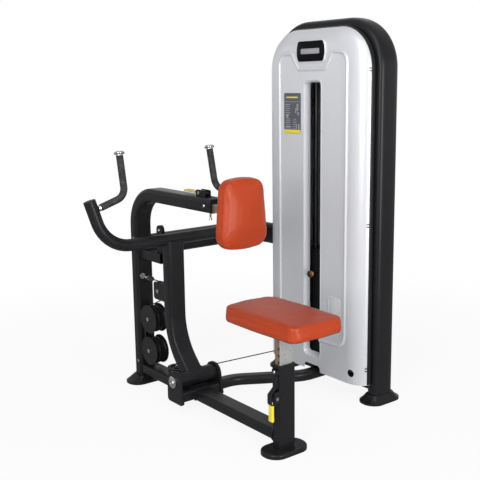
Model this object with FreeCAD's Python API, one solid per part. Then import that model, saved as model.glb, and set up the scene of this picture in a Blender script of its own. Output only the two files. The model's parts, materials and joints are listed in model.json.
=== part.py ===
import FreeCAD, Part
import math
import os

# Seated row machine, in millimetres.
# While it is built, the seat post's centre line is X = Y = 0 and the floor is Z = 0. X runs across
# the machine towards the weight tower, Y the way the user faces and Z up. The finished solids are
# moved so that the origin is the bottom centre of the whole machine.

os.makedirs("parts", exist_ok=True)

V = FreeCAD.Vector
X_AXIS = V(1, 0, 0)
Y_AXIS = V(0, 1, 0)
Z_AXIS = V(0, 0, 1)

# General values
overrun = 5.0                   # how far a cutting body passes a face
fit_gap = 0.05                  # radial running clearance of a pin in its bore
slide_gap = 0.4                 # clearance of a telescoping tube in its bush
body_gap = 0.4                  # gap between bodies that move past each other
soft_gap = 0.3                  # gap between a cushion or bumper and its neighbour
shortest_edge = 0.001           # a straight edge shorter than this is left out
mesh_deflection = 0.05          # for measuring the machine's extents

# Frame tube of the column, the arm and the lever
frame_tube_width = 86.0
frame_tube_depth = 58.0
frame_tube_corner = 16.0
frame_tube_wall = 3.0

# Column and arm
column_y = 1004.0
arm_centre_z = 901.0
arm_end_y = 400.0
column_bend_radius = 150.0

# Spine tube of the beams on the floor
spine_width = 80.0
spine_height = 44.0
spine_corner = 10.0
spine_wall = 3.0
spine_centre_z = 68.0

# Feet
foot_length = 194.0
foot_width = 116.0
foot_corner = 55.0
foot_rim_height = 9.0
foot_height = 35.0
foot_flare_length = 152.0
foot_flare_width = 96.0
foot_flare_z = 18.0
foot_neck_wall = 9.0
foot_neck_corner = 24.0
foot_floor = 7.0
seat_foot_height = 18.0
seat_foot_round = 7.0

# Seat post and stem
post_width = 78.0
post_depth = 42.0
post_corner = 4.0
post_wall = 3.0
post_top_z = 338.0
collar_height = 11.0
collar_rim = 3.0
collar_depth = 18.0
collar_round = 2.5
stem_width = 62.0
stem_depth = 30.0
stem_corner = 3.0
stem_wall = 2.0
stem_bottom_z = 112.0
stem_hole_radius = 5.5
stem_hole_pitch = 27.0
stem_holes_above = 4
stem_holes_below = 3

# Seat pad and its plate
seat_pad_width = 272.0
seat_pad_rear_width = 256.0
seat_pad_rear_y = -200.0
seat_pad_wide_y = 20.0
seat_pad_nose_y = 226.0
seat_pad_rear_corner = 36.0
seat_pad_side_radius = 420.0
seat_pad_nose_corner = 64.0
seat_pad_bottom_z = 494.0
seat_pad_height = 65.0
seat_pad_edge_inset = 34.0      # how far the crown's top face lies inside the pad's outline
seat_plate_thickness = 5.0
seat_plate_margin = 44.0
seat_plate_corner = 18.0

# Cushion profile: rise through the thickness and inset from the outline, as shares
cushion_rise_shares = (0.0, 0.10, 0.32, 0.60, 0.84, 0.96, 1.0)
cushion_inset_shares = (0.24, 0.05, 0.0, 0.02, 0.16, 0.48, 1.0)

# Chest pad and its plate
chest_pad_front_y = 198.0
chest_pad_depth = 69.0
chest_pad_bottom_z = 751.0
chest_pad_height = 281.0
chest_pad_bottom_width = 240.0
chest_pad_top_width = 192.0
chest_pad_bottom_corner = 60.0
chest_pad_top_corner = 50.0
chest_pad_edge_inset = 26.0
chest_pad_edge_arch = 12.0      # rise of the top and bottom edges at their middle
chest_pad_edge_radius = 300.0
chest_plate_thickness = 5.0
chest_plate_margin = 46.0
chest_plate_corner = 14.0

# Slide tube, its index bar and the bush in the arm's end
slide_width = 60.0
slide_height = 34.0
slide_corner = 3.0
slide_wall = 2.5
slide_centre_z = 893.0
slide_inner_end_y = 690.0
index_bar_width = 26.0
index_bar_thickness = 8.0
index_bar_end_y = 640.0
index_hole_radius = 4.6
index_hole_pitch = 25.0
index_holes_ahead = 5
index_holes_behind = 4
bush_length = 30.0
bush_flange = 7.0
bush_round = 3.0

# Lever and its bearing
pivot_y = 597.0
pivot_z = 128.0
lever_y = 735.0
lever_lean = 44.0               # lean of the lever's foot from upright, in degrees
lever_bend_radius = 125.0
lever_tube_depth = 60.0
lever_top_drop = 6.0            # how far the lever's tube ends below the crossbar's centre
sleeve_radius = 36.0
sleeve_wall = 6.0
sleeve_bearing_length = 24.0
shaft_radius = 12.5
shaft_head_radius = 26.0
shaft_head_height = 9.0
shaft_head_crown = 4.0
shaft_head_rim_share = 0.8      # flat part of the head, of its radius
pivot_plate_thickness = 11.0
pivot_plate_front_y = 528.0
pivot_plate_back_y = 643.0
pivot_plate_top_front_y = 552.0
pivot_plate_bottom_z = 36.0
pivot_plate_rise = 45.0         # above the pivot axis
pivot_plate_low_corner = 14.0
pivot_plate_top_corner = 44.0
cross_box_half_width = 98.0
cross_box_front_y = 540.0
cross_box_back_y = 640.0

# Crossbar, handles and grips
crossbar_z = 720.0
crossbar_radius = 26.0
crossbar_wall = 2.5
crossbar_corner_x = 326.0
crossbar_bend_radius = 150.0
arm_tip_x = 381.0
arm_tip_y = 757.0
arm_tip_z = 916.0
tip_cap_height = 4.0
tip_cap_round = 1.5
tip_plug_length = 20.0
handle_root_share = 0.8         # place of the handle's root along the raised arm
handle_corner_x = 231.0
handle_corner_y = 731.0
handle_corner_z = 929.0
handle_tip_x = 229.0
handle_tip_y = 766.0
handle_tip_z = 1094.0
handle_bar_radius = 9.0
handle_bend_radius = 52.0
grip_radius = 15.0
grip_end_round = 2.0
handle_collar_start = 27.5      # from the raised arm's centre line
handle_collar_length = 9.0
handle_collar_radius = 13.0
handle_cap_radius = 19.0
handle_cap_height = 14.0
handle_cap_neck = 4.0
handle_cap_rim = 3.0

# Stop beam, its lug and the bumper
stop_beam_width = 50.0
stop_beam_height = 46.0
stop_beam_corner = 6.0
stop_beam_wall = 3.0
stop_beam_end_y = 806.0
stop_beam_centre_z = 620.0
stop_lug_centre_y = 834.0
stop_lug_width = 44.0
stop_lug_thickness = 16.0
stop_lug_top_z = 767.0
bumper_radius = 19.0
bumper_round = 5.0
bumper_drop = 26.0              # of the bumper's axis below the crossbar's

# Link tubes to the tower
upper_link_centre_z = 648.0
upper_link_height = 100.0
upper_link_thickness = 50.0
upper_link_corner = 20.0
upper_link_wall = 3.0
upper_link_bend_radius = 140.0
lower_link_width = 60.0
lower_link_corner = 16.0
lower_link_wall = 3.0
lower_link_start_y = 586.0
lower_link_end_y = 420.0
lower_link_first_x = 205.0
lower_link_second_x = 480.0
lower_link_bend_radius = 160.0

# Tower arch, its beams and guide rods
tower_x = 660.0
tower_y = 427.0
tower_half_span = 306.0
tower_top_z = 1612.0
tower_bend_radius = 180.0
leg_width = 108.0
leg_depth = 52.0
leg_corner = 16.0
leg_wall = 2.5
top_beam_width = 60.0
top_beam_height = 30.0
top_beam_z = 1400.0
beam_cable_hole_radius = 9.0
guide_rod_radius = 12.5
guide_rod_half_span = 95.0

# Front shroud
shroud_front_x = 533.0
shroud_half_width = 312.0
shroud_top_z = 1610.0
shroud_bottom_z = 84.0
shroud_corner = 176.0
shroud_margin = 87.0
shroud_wall = 3.0
shroud_back_x = 592.0
shroud_groove_inset = 8.0       # of the narrow rim behind the cover's edge
quarter_handle_share = 0.5523   # handle of a curve that follows a quarter of an ellipse
slot_half_width = 59.0
slot_bottom_z = 137.0
slot_top_z = 1390.0
slot_corner = 14.0
slot_bevel = 8.0
slot_depth = 19.0
slot_wall = 2.5
bead_width = 12.0
bead_height = 4.0
bead_half_width = 212.0
bead_top_z = 1504.0
bead_bottom_z = 238.0
bead_top_corner = 44.0
bead_low_corner = 58.0
bead_notch_top_half = 128.0
bead_notch_bottom_half = 86.0
bead_notch_z = 1436.0
bead_notch_round = 14.0
recess_width = 72.0
recess_height = 36.0
recess_depth = 2.0
recess_round = 4.0
recess_centre_y = 300.0
recess_centre_z = 408.0
access_hole_radius = 17.0
access_hole_y = 178.0
access_hole_z = 133.0
cutout_clearance = 22.0
cutout_top_clearance = 22.0
cutout_corner = 16.0
cable_hole_radius = 14.0

# Rear shroud
rear_shroud_depth = 22.0
rear_shroud_margin = 70.0
rear_shroud_bottom_z = 112.0

# Weight stack
stack_offset_x = 10.0            # of the stack's centre, forward of the arch's centre
stack_plate_width = 290.0
stack_plate_depth = 108.0
stack_plate_height = 25.0
stack_plate_gap = 0.6
stack_plate_corner = 8.0
resting_plate_count = 15
lifted_plate_count = 3
top_plate_height = 28.0
top_plate_boss_height = 10.0
top_plate_boss_radius = 24.0
buffer_radius = 26.0
buffer_height = 48.0
buffer_round = 6.0
guide_bore_gap = 1.0
selector_rod_radius = 11.0
selector_rod_end_z = 150.0
pin_radius = 4.7
pin_gap = 0.3
knob_radius = 15.0
knob_neck_radius = 9.0
knob_length = 24.0
knob_round = 5.0
knob_front_x = 517.0
pin_past_centre = 22.0

# Cable and pulleys
cable_radius = 2.6
cable_gap = 0.3                 # between the cable and the floor of a groove
cable_x = -20.0
column_pulley_y = 906.0
column_pulley_low_z = 173.0
column_pulley_high_z = 324.0
column_pulley_groove = 56.0
column_pulley_rim = 62.0
column_pulley_width = 22.0
guard_radius = 66.0
guard_thickness = 3.0
guard_gap = 2.0
guard_tongue_height = 60.0
far_guard_offset = 45.0         # of the far guard's inner face from the cable
spacer_radius = 10.0
block_y = 817.0
block_z = 474.0
block_wheel_groove = 38.0
block_wheel_rim = 43.0
block_wheel_width = 18.0
block_plate_thickness = 4.0
block_plate_reach = 36.0        # past the axle
block_plate_half_height = 40.0
block_plate_corner = 14.0
block_plate_gap = 1.0
floor_pulley_y = 761.0
floor_pulley_groove = 40.0
floor_pulley_rim = 46.0
tower_pulley_groove = 45.0
tower_pulley_rim = 51.0
pulley_width = 18.0
riser_y = 656.0
top_pulley_z = 1492.0
pulley_groove_half_share = 0.36
groove_floor_half = 3.0
pulley_hub_share = 0.36
pulley_web_outer_share = 0.84
pulley_web_share = 0.45
axle_radius = 6.0
axle_head_radius = 9.5
axle_head_height = 5.0
bracket_thickness = 4.0
bracket_gap = 1.0
bracket_reach = 15.0
bracket_corner = 9.0
floor_bracket_width = 52.0
floor_bracket_thickness = 6.0
floor_boss_radius = 13.0
anchor_plate_radius = 13.0
anchor_plate_thickness = 5.0
anchor_nut_radius = 10.0
anchor_nut_length = 9.0
anchor_rod_radius = 4.5
anchor_rod_length = 48.0
anchor_socket_radius = 6.5
anchor_socket_length = 24.0

# Latches
latch_pin_radius = 4.0
latch_pin_hole_radius = 7.6
latch_bolt_radius = 4.0
latch_bolt_head_radius = 7.0
latch_bolt_head_height = 4.0
latch_cheek_thickness = 4.0
latch_cheek_corner = 8.0
latch_lever_width = 20.0
latch_lever_thickness = 7.0
latch_eye_radius = 9.0
seat_latch_y = -8.0
seat_latch_stand_off = 14.0     # of the fulcrum from the post's side
seat_latch_bar_stand_off = 7.0
seat_latch_elbow_stand_off = 36.0
seat_latch_fulcrum_z = 228.0
seat_latch_knee_z = 272.0
seat_latch_elbow_top_z = 246.0
seat_latch_elbow_low_z = 210.0
seat_latch_pin_z = 306.0
seat_latch_lever_top_z = 316.0
seat_latch_cheek_low_z = 207.0
seat_latch_cheek_high_z = 254.0
seat_latch_cheek_reach = 13.0
seat_latch_hood_reach = 13.0
seat_latch_hood_low_z = 320.0
seat_latch_hood_high_z = 337.0
seat_grip_top_z = 203.0
seat_grip_length = 65.0
seat_grip_stand_off = 29.0
seat_grip_thickness = 12.0
seat_grip_width = 24.0
seat_grip_round = 5.0
pad_latch_fulcrum_y = 506.0
pad_latch_fulcrum_rise = 15.0
pad_latch_pin_y = 478.0
pad_latch_front_y = 464.0
pad_latch_back_y = 528.0
pad_latch_height = 27.0
pad_latch_tab_end_y = 618.0
pad_latch_tab_width = 30.0
pad_latch_tab_thickness = 8.0
pad_latch_tab_start_y = 532.0
pad_latch_slot_half = 9.0

# Small bolts and the clamp screw under the arm's end
bolt_head_radius = 7.0
bolt_head_height = 4.5
bolt_head_round = 2.0
column_bolt_low_z = 104.0
column_bolt_high_z = 690.0
column_bolt_inset = 20.0        # from the column's front face
arm_bolt_y = 434.0
clamp_screw_y = 449.0
clamp_screw_radius = 4.0
clamp_screw_length = 34.0
clamp_knob_radius = 7.5
clamp_knob_length = 10.0

# Places that follow from the sizes above
column_front_y = column_y - frame_tube_depth / 2
column_side_x = frame_tube_width / 2
arm_top_z = arm_centre_z + frame_tube_depth / 2
arm_bottom_z = arm_centre_z - frame_tube_depth / 2
spine_top_z = spine_centre_z + spine_height / 2
post_front_y = post_depth / 2
post_side_x = -post_width / 2   # of the side that carries the seat's latch
seat_latch_fulcrum_x = post_side_x - seat_latch_stand_off
sleeve_half_length = cross_box_half_width - body_gap
leg_front_x = tower_x - leg_width / 2
leg_rear_x = tower_x + leg_width / 2
leg_inner_span = tower_half_span - leg_depth / 2
stack_x = tower_x - stack_offset_x
stack_pitch = stack_plate_height + stack_plate_gap
stack_bottom_z = spine_top_z + buffer_height
lifted_bottom_z = stack_bottom_z + resting_plate_count * stack_pitch
top_plate_bottom_z = lifted_bottom_z + lifted_plate_count * stack_pitch
top_plate_top_z = top_plate_bottom_z + top_plate_height
pin_z = lifted_bottom_z + stack_plate_height / 2
lever_back_y = lever_y + lever_tube_depth / 2
bumper_z = crossbar_z - bumper_drop
seat_plate_top_z = seat_pad_bottom_z - soft_gap
seat_plate_bottom_z = seat_plate_top_z - seat_plate_thickness
chest_plate_front_y = chest_pad_front_y + chest_pad_depth + soft_gap
chest_plate_back_y = chest_plate_front_y + chest_plate_thickness
slide_top_z = slide_centre_z + slide_height / 2
slide_bottom_z = slide_centre_z - slide_height / 2
column_wrap = column_pulley_groove + cable_radius + cable_gap
block_wrap = block_wheel_groove + cable_radius + cable_gap
floor_wrap = floor_pulley_groove + cable_radius + cable_gap
tower_wrap = tower_pulley_groove + cable_radius + cable_gap
cable_low_z = column_pulley_low_z - column_wrap
floor_pulley_x = cable_x + floor_wrap


# Geometry helpers

def unit(vector):
    """Direction of a vector."""
    return V(vector).normalize()


def rounded_corner(before_point, corner, after_point, radius):
    """Start, middle and end of the arc that rounds a corner."""
    before = unit(corner - before_point)
    after = unit(after_point - corner)
    turn = before.getAngle(after)
    reach = radius * math.tan(turn / 2)
    inward = unit(after - before)
    centre = corner + inward * (radius / math.cos(turn / 2))
    return corner - before * reach, centre - inward * radius, corner + after * reach


def straight(start, end):
    """Straight edges from start to end: one, or none where the two points are the same."""
    if (end - start).Length < shortest_edge:
        return []
    return [Part.LineSegment(start, end).toShape()]


def bent_path(points, radii):
    """Open path of straight runs joined by tangent arcs at the inner points."""
    edges = []
    start = points[0]
    for index, radius in enumerate(radii, 1):
        arc = rounded_corner(points[index - 1], points[index], points[index + 1], radius)
        edges += straight(start, arc[0])
        edges.append(Part.Arc(*arc).toShape())
        start = arc[2]
    edges += straight(start, points[-1])
    return Part.Wire(edges)


def outline(points, radii):
    """Closed wire through corner points, each rounded by its own radius."""
    arcs = []
    count = len(points)
    for index in range(count):
        after_point = points[(index + 1) % count]
        arcs.append(rounded_corner(points[index - 1], points[index], after_point, radii[index]))
    edges = []
    for index in range(count):
        edges += straight(arcs[index - 1][2], arcs[index][0])
        if radii[index] > 0:
            edges.append(Part.Arc(*arcs[index]).toShape())
    return Part.Wire(edges)


def rectangle(width, height, corner, centre, across, up):
    """Rounded rectangle: width along the across direction, height along the up direction."""
    side = across * (width / 2)
    rise = up * (height / 2)
    points = [centre - side - rise, centre + side - rise, centre + side + rise, centre - side + rise]
    return outline(points, [corner] * len(points))


def extruded(wire, direction):
    """Solid between a closed flat wire and its copy moved by a vector."""
    return Part.Face(wire).extrude(direction)


def sweep(path, section):
    """Solid along a path of straight runs and tangent arcs."""
    return path.makePipeShell([section], True, False)


def box_tube(path, start, direction, across, width, depth, corner, wall):
    """Hollow rounded rectangular tube along a path."""
    up = direction.cross(across)
    outer = sweep(path, rectangle(width, depth, corner, start, across, up))
    inner = sweep(path, rectangle(width - 2 * wall, depth - 2 * wall, corner - wall, start, across, up))
    return outer, outer.cut(inner)


def straight_box_tube(start, end, across, width, depth, corner, wall):
    """Straight hollow rounded rectangular tube."""
    direction = unit(end - start)
    return box_tube(bent_path([start, end], []), start, direction, across, width, depth, corner, wall)[1]


def round_bar(path, start, direction, radius):
    """Round bar along a path."""
    return sweep(path, Part.Wire(Part.makeCircle(radius, start, direction)))


def cylinder(radius, start, end):
    """Solid cylinder between two points."""
    return Part.makeCylinder(radius, (end - start).Length, start, end - start)


def block(x_range, y_range, z_range):
    """Box between three pairs of limits."""
    low = V(x_range[0], y_range[0], z_range[0])
    return Part.makeBox(x_range[1] - x_range[0], y_range[1] - y_range[0], z_range[1] - z_range[0], low)


def turned(points):
    """Solid of revolution about Z of a closed profile of (radius, height) points."""
    corners = [V(radius, 0, height) for radius, height in points]
    profile = Part.makePolygon(corners + corners[:1])
    return Part.Face(profile).revolve(V(0, 0, 0), Z_AXIS, 360)


def placed(shape, origin, axis):
    """Copy of a shape built about Z, moved to an origin with its Z along an axis."""
    copy = shape.copy()
    copy.Placement = FreeCAD.Placement(origin, FreeCAD.Rotation(Z_AXIS, axis))
    return copy


def mirrored(shape):
    """Copy on the other side of the plane X = 0."""
    return shape.mirror(V(0, 0, 0), X_AXIS)


def both_sides(shape):
    """A shape and its mirror image."""
    return [shape, mirrored(shape)]


def belt_direction(first, first_radius, second, second_radius):
    """Direction of the straight run between two circles of one plane, as a pair.

    Radii are signed: positive where the cable goes round anticlockwise, zero for a point.
    """
    step = (second[0] - first[0], second[1] - first[1])
    square = step[0] ** 2 + step[1] ** 2
    cross = second_radius - first_radius
    run = math.sqrt(square - cross ** 2)
    first_part = (run * step[0] + cross * step[1]) / square
    second_part = (run * step[1] - cross * step[0]) / square
    return first_part, second_part


def wrap(centre, radius, inward, outward):
    """Start, middle and end of a cable's arc round a pulley, from the runs' directions."""
    along = inward.dot(outward)
    first = unit(inward * along - outward)
    last = unit(inward - outward * along)
    middle = unit(first + last)
    return centre + first * radius, centre + middle * radius, centre + last * radius


nodes = {}


def keep(name, *solids):
    """Store the solids of one sub-part under its name."""
    nodes[name] = solids[0] if len(solids) == 1 else Part.makeCompound(list(solids))


# Frame

def column_and_arm():
    """Bent tube: the upright column and the level arm above the lever."""
    start = V(0, column_y, foot_floor)
    points = [start, V(0, column_y, arm_centre_z), V(0, arm_end_y, arm_centre_z)]
    path = bent_path(points, [column_bend_radius])
    tube = box_tube(path, start, Z_AXIS, X_AXIS, frame_tube_width, frame_tube_depth,
                    frame_tube_corner, frame_tube_wall)[1]
    slot_end = pad_latch_pin_y + pad_latch_slot_half
    slot = block((-latch_pin_hole_radius, latch_pin_hole_radius),
                 (pad_latch_pin_y - pad_latch_slot_half, slot_end),
                 (arm_centre_z, arm_top_z + overrun))
    return tube.cut(slot)


def bell_foot(x, y, width, depth, corner):
    """Flared foot with a pocket that a tube of the given section stands in."""
    def section(length, breadth, radius, z):
        return rectangle(length, breadth, radius, V(x, y, z), X_AXIS, Y_AXIS)

    rim = extruded(section(foot_length, foot_width, foot_corner, 0), V(0, 0, foot_rim_height))
    neck_length = width + 2 * foot_neck_wall
    neck_width = depth + 2 * foot_neck_wall
    flare = Part.makeLoft([
        section(foot_length, foot_width, foot_corner, foot_rim_height),
        section(foot_flare_length, foot_flare_width, foot_neck_corner + foot_neck_wall, foot_flare_z),
        section(neck_length, neck_width, foot_neck_corner, foot_height),
    ], True, False)
    pocket = extruded(section(width, depth, corner, foot_floor), V(0, 0, foot_height))
    return rim.fuse(flare).cut(pocket).removeSplitter()


def seat_foot():
    """Low rounded foot that the seat post stands in."""
    base = extruded(rectangle(foot_length, foot_width, foot_corner, V(0, 0, 0), X_AXIS, Y_AXIS),
                    V(0, 0, seat_foot_height))
    rim = [edge for edge in base.Edges if edge.BoundBox.ZMin > seat_foot_height - shortest_edge]
    base = base.makeFillet(seat_foot_round, rim)
    pocket = extruded(rectangle(post_width, post_depth, post_corner, V(0, 0, foot_floor), X_AXIS, Y_AXIS),
                      V(0, 0, seat_foot_height))
    return base.cut(pocket)


def spine_beam(start_y, end_y):
    """Beam along the floor on the machine's centre line."""
    return straight_box_tube(V(0, start_y, spine_centre_z), V(0, end_y, spine_centre_z), X_AXIS,
                             spine_width, spine_height, spine_corner, spine_wall)


def cross_box():
    """Short wide tube under the lever's bearing, closed at its ends by the pivot plates."""
    middle_y = (cross_box_front_y + cross_box_back_y) / 2
    length_y = cross_box_back_y - cross_box_front_y
    return straight_box_tube(V(-cross_box_half_width, middle_y, spine_centre_z),
                             V(cross_box_half_width, middle_y, spine_centre_z), Y_AXIS,
                             length_y, spine_height, spine_corner, spine_wall)


def pivot_plate():
    """Upright plate that carries one end of the lever's shaft."""
    top_z = pivot_z + pivot_plate_rise
    corners = [V(cross_box_half_width, pivot_plate_front_y, pivot_plate_bottom_z),
               V(cross_box_half_width, pivot_plate_back_y, pivot_plate_bottom_z),
               V(cross_box_half_width, pivot_plate_back_y, top_z),
               V(cross_box_half_width, pivot_plate_top_front_y, top_z)]
    radii = [pivot_plate_low_corner, pivot_plate_low_corner, pivot_plate_top_corner, pivot_plate_top_corner]
    plate = extruded(outline(corners, radii), V(pivot_plate_thickness, 0, 0))
    bore = cylinder(shaft_radius, V(0, pivot_y, pivot_z),
                    V(cross_box_half_width + pivot_plate_thickness + overrun, pivot_y, pivot_z))
    return plate.cut(bore)


def pivot_shaft():
    """Shaft of the lever with a broad domed head outside each plate."""
    reach = cross_box_half_width + pivot_plate_thickness
    top = reach + shaft_head_height
    flat = shaft_head_radius * shaft_head_rim_share
    profile = [(0, 0), (shaft_radius, 0), (shaft_radius, reach), (shaft_head_radius, reach),
               (shaft_head_radius, top - shaft_head_crown), (flat, top), (0, top)]
    half = placed(turned(profile), V(0, pivot_y, pivot_z), X_AXIS)
    return half.fuse(mirrored(half)).removeSplitter()


def seat_post():
    """Fixed post that the seat's stem slides in, bored for the latch pin."""
    post = straight_box_tube(V(0, 0, foot_floor), V(0, 0, post_top_z), X_AXIS,
                             post_width, post_depth, post_corner, post_wall)
    bore = cylinder(latch_pin_hole_radius, V(-post_width, seat_latch_y, seat_latch_pin_z),
                    V(0, seat_latch_y, seat_latch_pin_z))
    return post.cut(bore)


def seat_post_collar():
    """Plastic guide pressed into the post's mouth, with a rim that covers the post's edge."""
    top_z = post_top_z + collar_height
    rim = extruded(rectangle(post_width + 2 * collar_rim, post_depth + 2 * collar_rim,
                             post_corner + collar_rim, V(0, 0, post_top_z), X_AXIS, Y_AXIS),
                   V(0, 0, collar_height))
    edges = [edge for edge in rim.Edges if edge.BoundBox.ZMin > top_z - shortest_edge]
    rim = rim.makeFillet(collar_round, edges)
    lining = extruded(rectangle(post_width - 2 * post_wall, post_depth - 2 * post_wall,
                                post_corner - post_wall, V(0, 0, post_top_z - collar_depth),
                                X_AXIS, Y_AXIS), V(0, 0, collar_depth))
    mouth = extruded(rectangle(stem_width + 2 * slide_gap, stem_depth + 2 * slide_gap,
                               stem_corner + slide_gap, V(0, 0, post_top_z - collar_depth - overrun),
                               X_AXIS, Y_AXIS), V(0, 0, collar_depth + collar_height + 2 * overrun))
    return rim.fuse(lining).cut(mouth)


def lower_link():
    """Tube along the floor from the pivot box to the tower, with two bends."""
    start = V(cross_box_half_width + pivot_plate_thickness, lower_link_start_y, spine_centre_z)
    points = [start,
              V(lower_link_first_x, lower_link_start_y, spine_centre_z),
              V(lower_link_second_x, lower_link_end_y, spine_centre_z),
              V(tower_x - spine_width / 2, lower_link_end_y, spine_centre_z)]
    path = bent_path(points, [lower_link_bend_radius] * 2)
    return box_tube(path, start, X_AXIS, Y_AXIS, lower_link_width, spine_height,
                    lower_link_corner, lower_link_wall)[1]


def upper_link():
    """Flat oval tube from the column round to the tower's far leg."""
    start = V(column_side_x, column_y, upper_link_centre_z)
    points = [start,
              V(tower_x, column_y, upper_link_centre_z),
              V(tower_x, tower_y + tower_half_span + leg_depth / 2, upper_link_centre_z)]
    path = bent_path(points, [upper_link_bend_radius])
    return box_tube(path, start, X_AXIS, Y_AXIS, upper_link_thickness, upper_link_height,
                    upper_link_corner, upper_link_wall)[1]


def stop_beam():
    """Beam from the column towards the lever, with the lug that holds the bumper."""
    beam = straight_box_tube(V(0, column_front_y, stop_beam_centre_z), V(0, stop_beam_end_y, stop_beam_centre_z),
                             X_AXIS, stop_beam_width, stop_beam_height, stop_beam_corner, stop_beam_wall)
    foot_z = stop_beam_centre_z + stop_beam_height / 2
    side_x = -stop_lug_thickness / 2
    low_y = stop_lug_centre_y - stop_lug_width / 2
    high_y = stop_lug_centre_y + stop_lug_width / 2
    corners = [V(side_x, low_y, foot_z), V(side_x, high_y, foot_z),
               V(side_x, high_y, stop_lug_top_z), V(side_x, low_y, stop_lug_top_z)]
    lug = extruded(outline(corners, [0, 0, stop_lug_width / 2, stop_lug_width / 2]),
                   V(stop_lug_thickness, 0, 0))
    return beam.fuse(lug)


def lever_bumper():
    """Rubber bumper on the lug's face that the top of the lever rests against."""
    length = stop_lug_centre_y - stop_lug_width / 2 - lever_back_y - soft_gap
    profile = [(0, 0), (bumper_radius, 0), (bumper_radius, length - bumper_round),
               (bumper_radius - bumper_round, length), (0, length)]
    return placed(turned(profile), V(0, lever_back_y + soft_gap + length, bumper_z), -Y_AXIS)


# Tower

def arch_path(half_span, top_z, bottom_z, radius, x):
    """Path up one leg, over the top and down the other leg."""
    near_y = tower_y - half_span
    far_y = tower_y + half_span
    points = [V(x, near_y, bottom_z), V(x, near_y, top_z), V(x, far_y, top_z), V(x, far_y, bottom_z)]
    return bent_path(points, [radius] * 2)


def tower_arch():
    """The tower's bent tube."""
    path = arch_path(tower_half_span, tower_top_z, foot_floor, tower_bend_radius, tower_x)
    start = V(tower_x, tower_y - tower_half_span, foot_floor)
    return box_tube(path, start, Z_AXIS, X_AXIS, leg_width, leg_depth, leg_corner, leg_wall)[1]


def tower_base_beam():
    """Beam between the tower's legs that carries the guide rods and the stack."""
    return straight_box_tube(V(tower_x, tower_y - leg_inner_span, spine_centre_z),
                             V(tower_x, tower_y + leg_inner_span, spine_centre_z), X_AXIS,
                             spine_width, spine_height, spine_corner, spine_wall)


def tower_top_beam():
    """Beam over the guide rods with the side plates of the two top pulleys."""
    centre_z = top_beam_z + top_beam_height / 2
    beam = straight_box_tube(V(tower_x, tower_y - leg_inner_span, centre_z),
                             V(tower_x, tower_y + leg_inner_span, centre_z), X_AXIS,
                             top_beam_width, top_beam_height, bracket_corner, spine_wall)
    for hole_y in (tower_y, riser_y):
        beam = beam.cut(cylinder(beam_cable_hole_radius, V(stack_x, hole_y, top_beam_z - overrun),
                                 V(stack_x, hole_y, top_beam_z + top_beam_height + overrun)))
    inner_x = stack_x + pulley_width / 2 + bracket_gap
    low_z = top_beam_z + top_beam_height
    high_z = top_pulley_z + bracket_reach
    low_y = tower_y + tower_wrap - bracket_reach
    high_y = riser_y - tower_wrap + bracket_reach
    corners = [V(inner_x, low_y, low_z), V(inner_x, high_y, low_z),
               V(inner_x, high_y, high_z), V(inner_x, low_y, high_z)]
    plate = extruded(outline(corners, [0, 0, bracket_corner, bracket_corner]), V(bracket_thickness, 0, 0))
    for centre_y in (tower_y + tower_wrap, riser_y - tower_wrap):
        plate = plate.cut(cylinder(axle_radius, V(stack_x, centre_y, top_pulley_z),
                                   V(stack_x + pulley_width * 2, centre_y, top_pulley_z)))
    other = plate.mirror(V(stack_x, 0, 0), X_AXIS)
    return beam.fuse([plate, other])


def arch_outline(x, half_width, top_z, bottom_z, corner):
    """Closed outline of an arch: square at the bottom, rounded at the top."""
    near_y = tower_y - half_width
    far_y = tower_y + half_width
    points = [V(x, near_y, bottom_z), V(x, near_y, top_z), V(x, far_y, top_z), V(x, far_y, bottom_z)]
    return outline(points, [0, corner, corner, 0])


def arch_ring(x_range, half_width, inner_half_width, bottom_z):
    """Flat ring in the shroud's arch shape, open at the bottom."""
    length = V(x_range[1] - x_range[0], 0, 0)
    outer_inset = shroud_half_width - half_width
    inner_inset = shroud_half_width - inner_half_width
    outer = extruded(arch_outline(x_range[0], half_width, shroud_top_z - outer_inset, bottom_z,
                                  shroud_corner - outer_inset), length)
    inner = extruded(arch_outline(x_range[0], inner_half_width, shroud_top_z - inner_inset,
                                  bottom_z - overrun, shroud_corner - inner_inset), length)
    return outer.cut(inner)


def domed_panel(face_x, back_x, half_width, top_z, bottom_z, corner, margin):
    """Arch-shaped solid whose flat face runs out into a rounded margin."""
    near_y = tower_y - half_width + margin
    core = extruded(arch_outline(back_x, half_width - margin, top_z - margin, bottom_z, corner - margin),
                    V(face_x - back_x, 0, 0))
    rim = V(back_x, near_y - margin, bottom_z)
    shoulder = V(face_x, near_y, bottom_z)
    root = V(back_x, near_y, bottom_z)
    curve = Part.BezierCurve()
    curve.setPoles([rim,
                    rim + (shoulder - root) * quarter_handle_share,
                    shoulder + (rim - root) * quarter_handle_share,
                    shoulder])
    profile = Part.Wire([curve.toShape()] + straight(shoulder, root) + straight(root, rim))
    margin_ring = sweep(arch_path(half_width, top_z, bottom_z, corner, back_x), profile)
    return core.fuse(margin_ring).removeSplitter()


def shroud_shell(face_x, back_x, bottom_z, margin):
    """Thin domed panel, open at its back and its bottom."""
    inward = shroud_wall if back_x > face_x else -shroud_wall
    outer = domed_panel(face_x, back_x, shroud_half_width, shroud_top_z, bottom_z, shroud_corner, margin)
    inner = domed_panel(face_x + inward, back_x + inward, shroud_half_width - shroud_wall,
                        shroud_top_z - shroud_wall, bottom_z - overrun, shroud_corner - shroud_wall, margin)
    return outer.cut(inner)


def slot_outline(x, inset):
    """Outline of the selector slot at one depth."""
    near_y = tower_y - slot_half_width + inset
    far_y = tower_y + slot_half_width - inset
    points = [V(x, near_y, slot_bottom_z + inset), V(x, far_y, slot_bottom_z + inset),
              V(x, far_y, slot_top_z - inset), V(x, near_y, slot_top_z - inset)]
    return outline(points, [slot_corner] * len(points))


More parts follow.
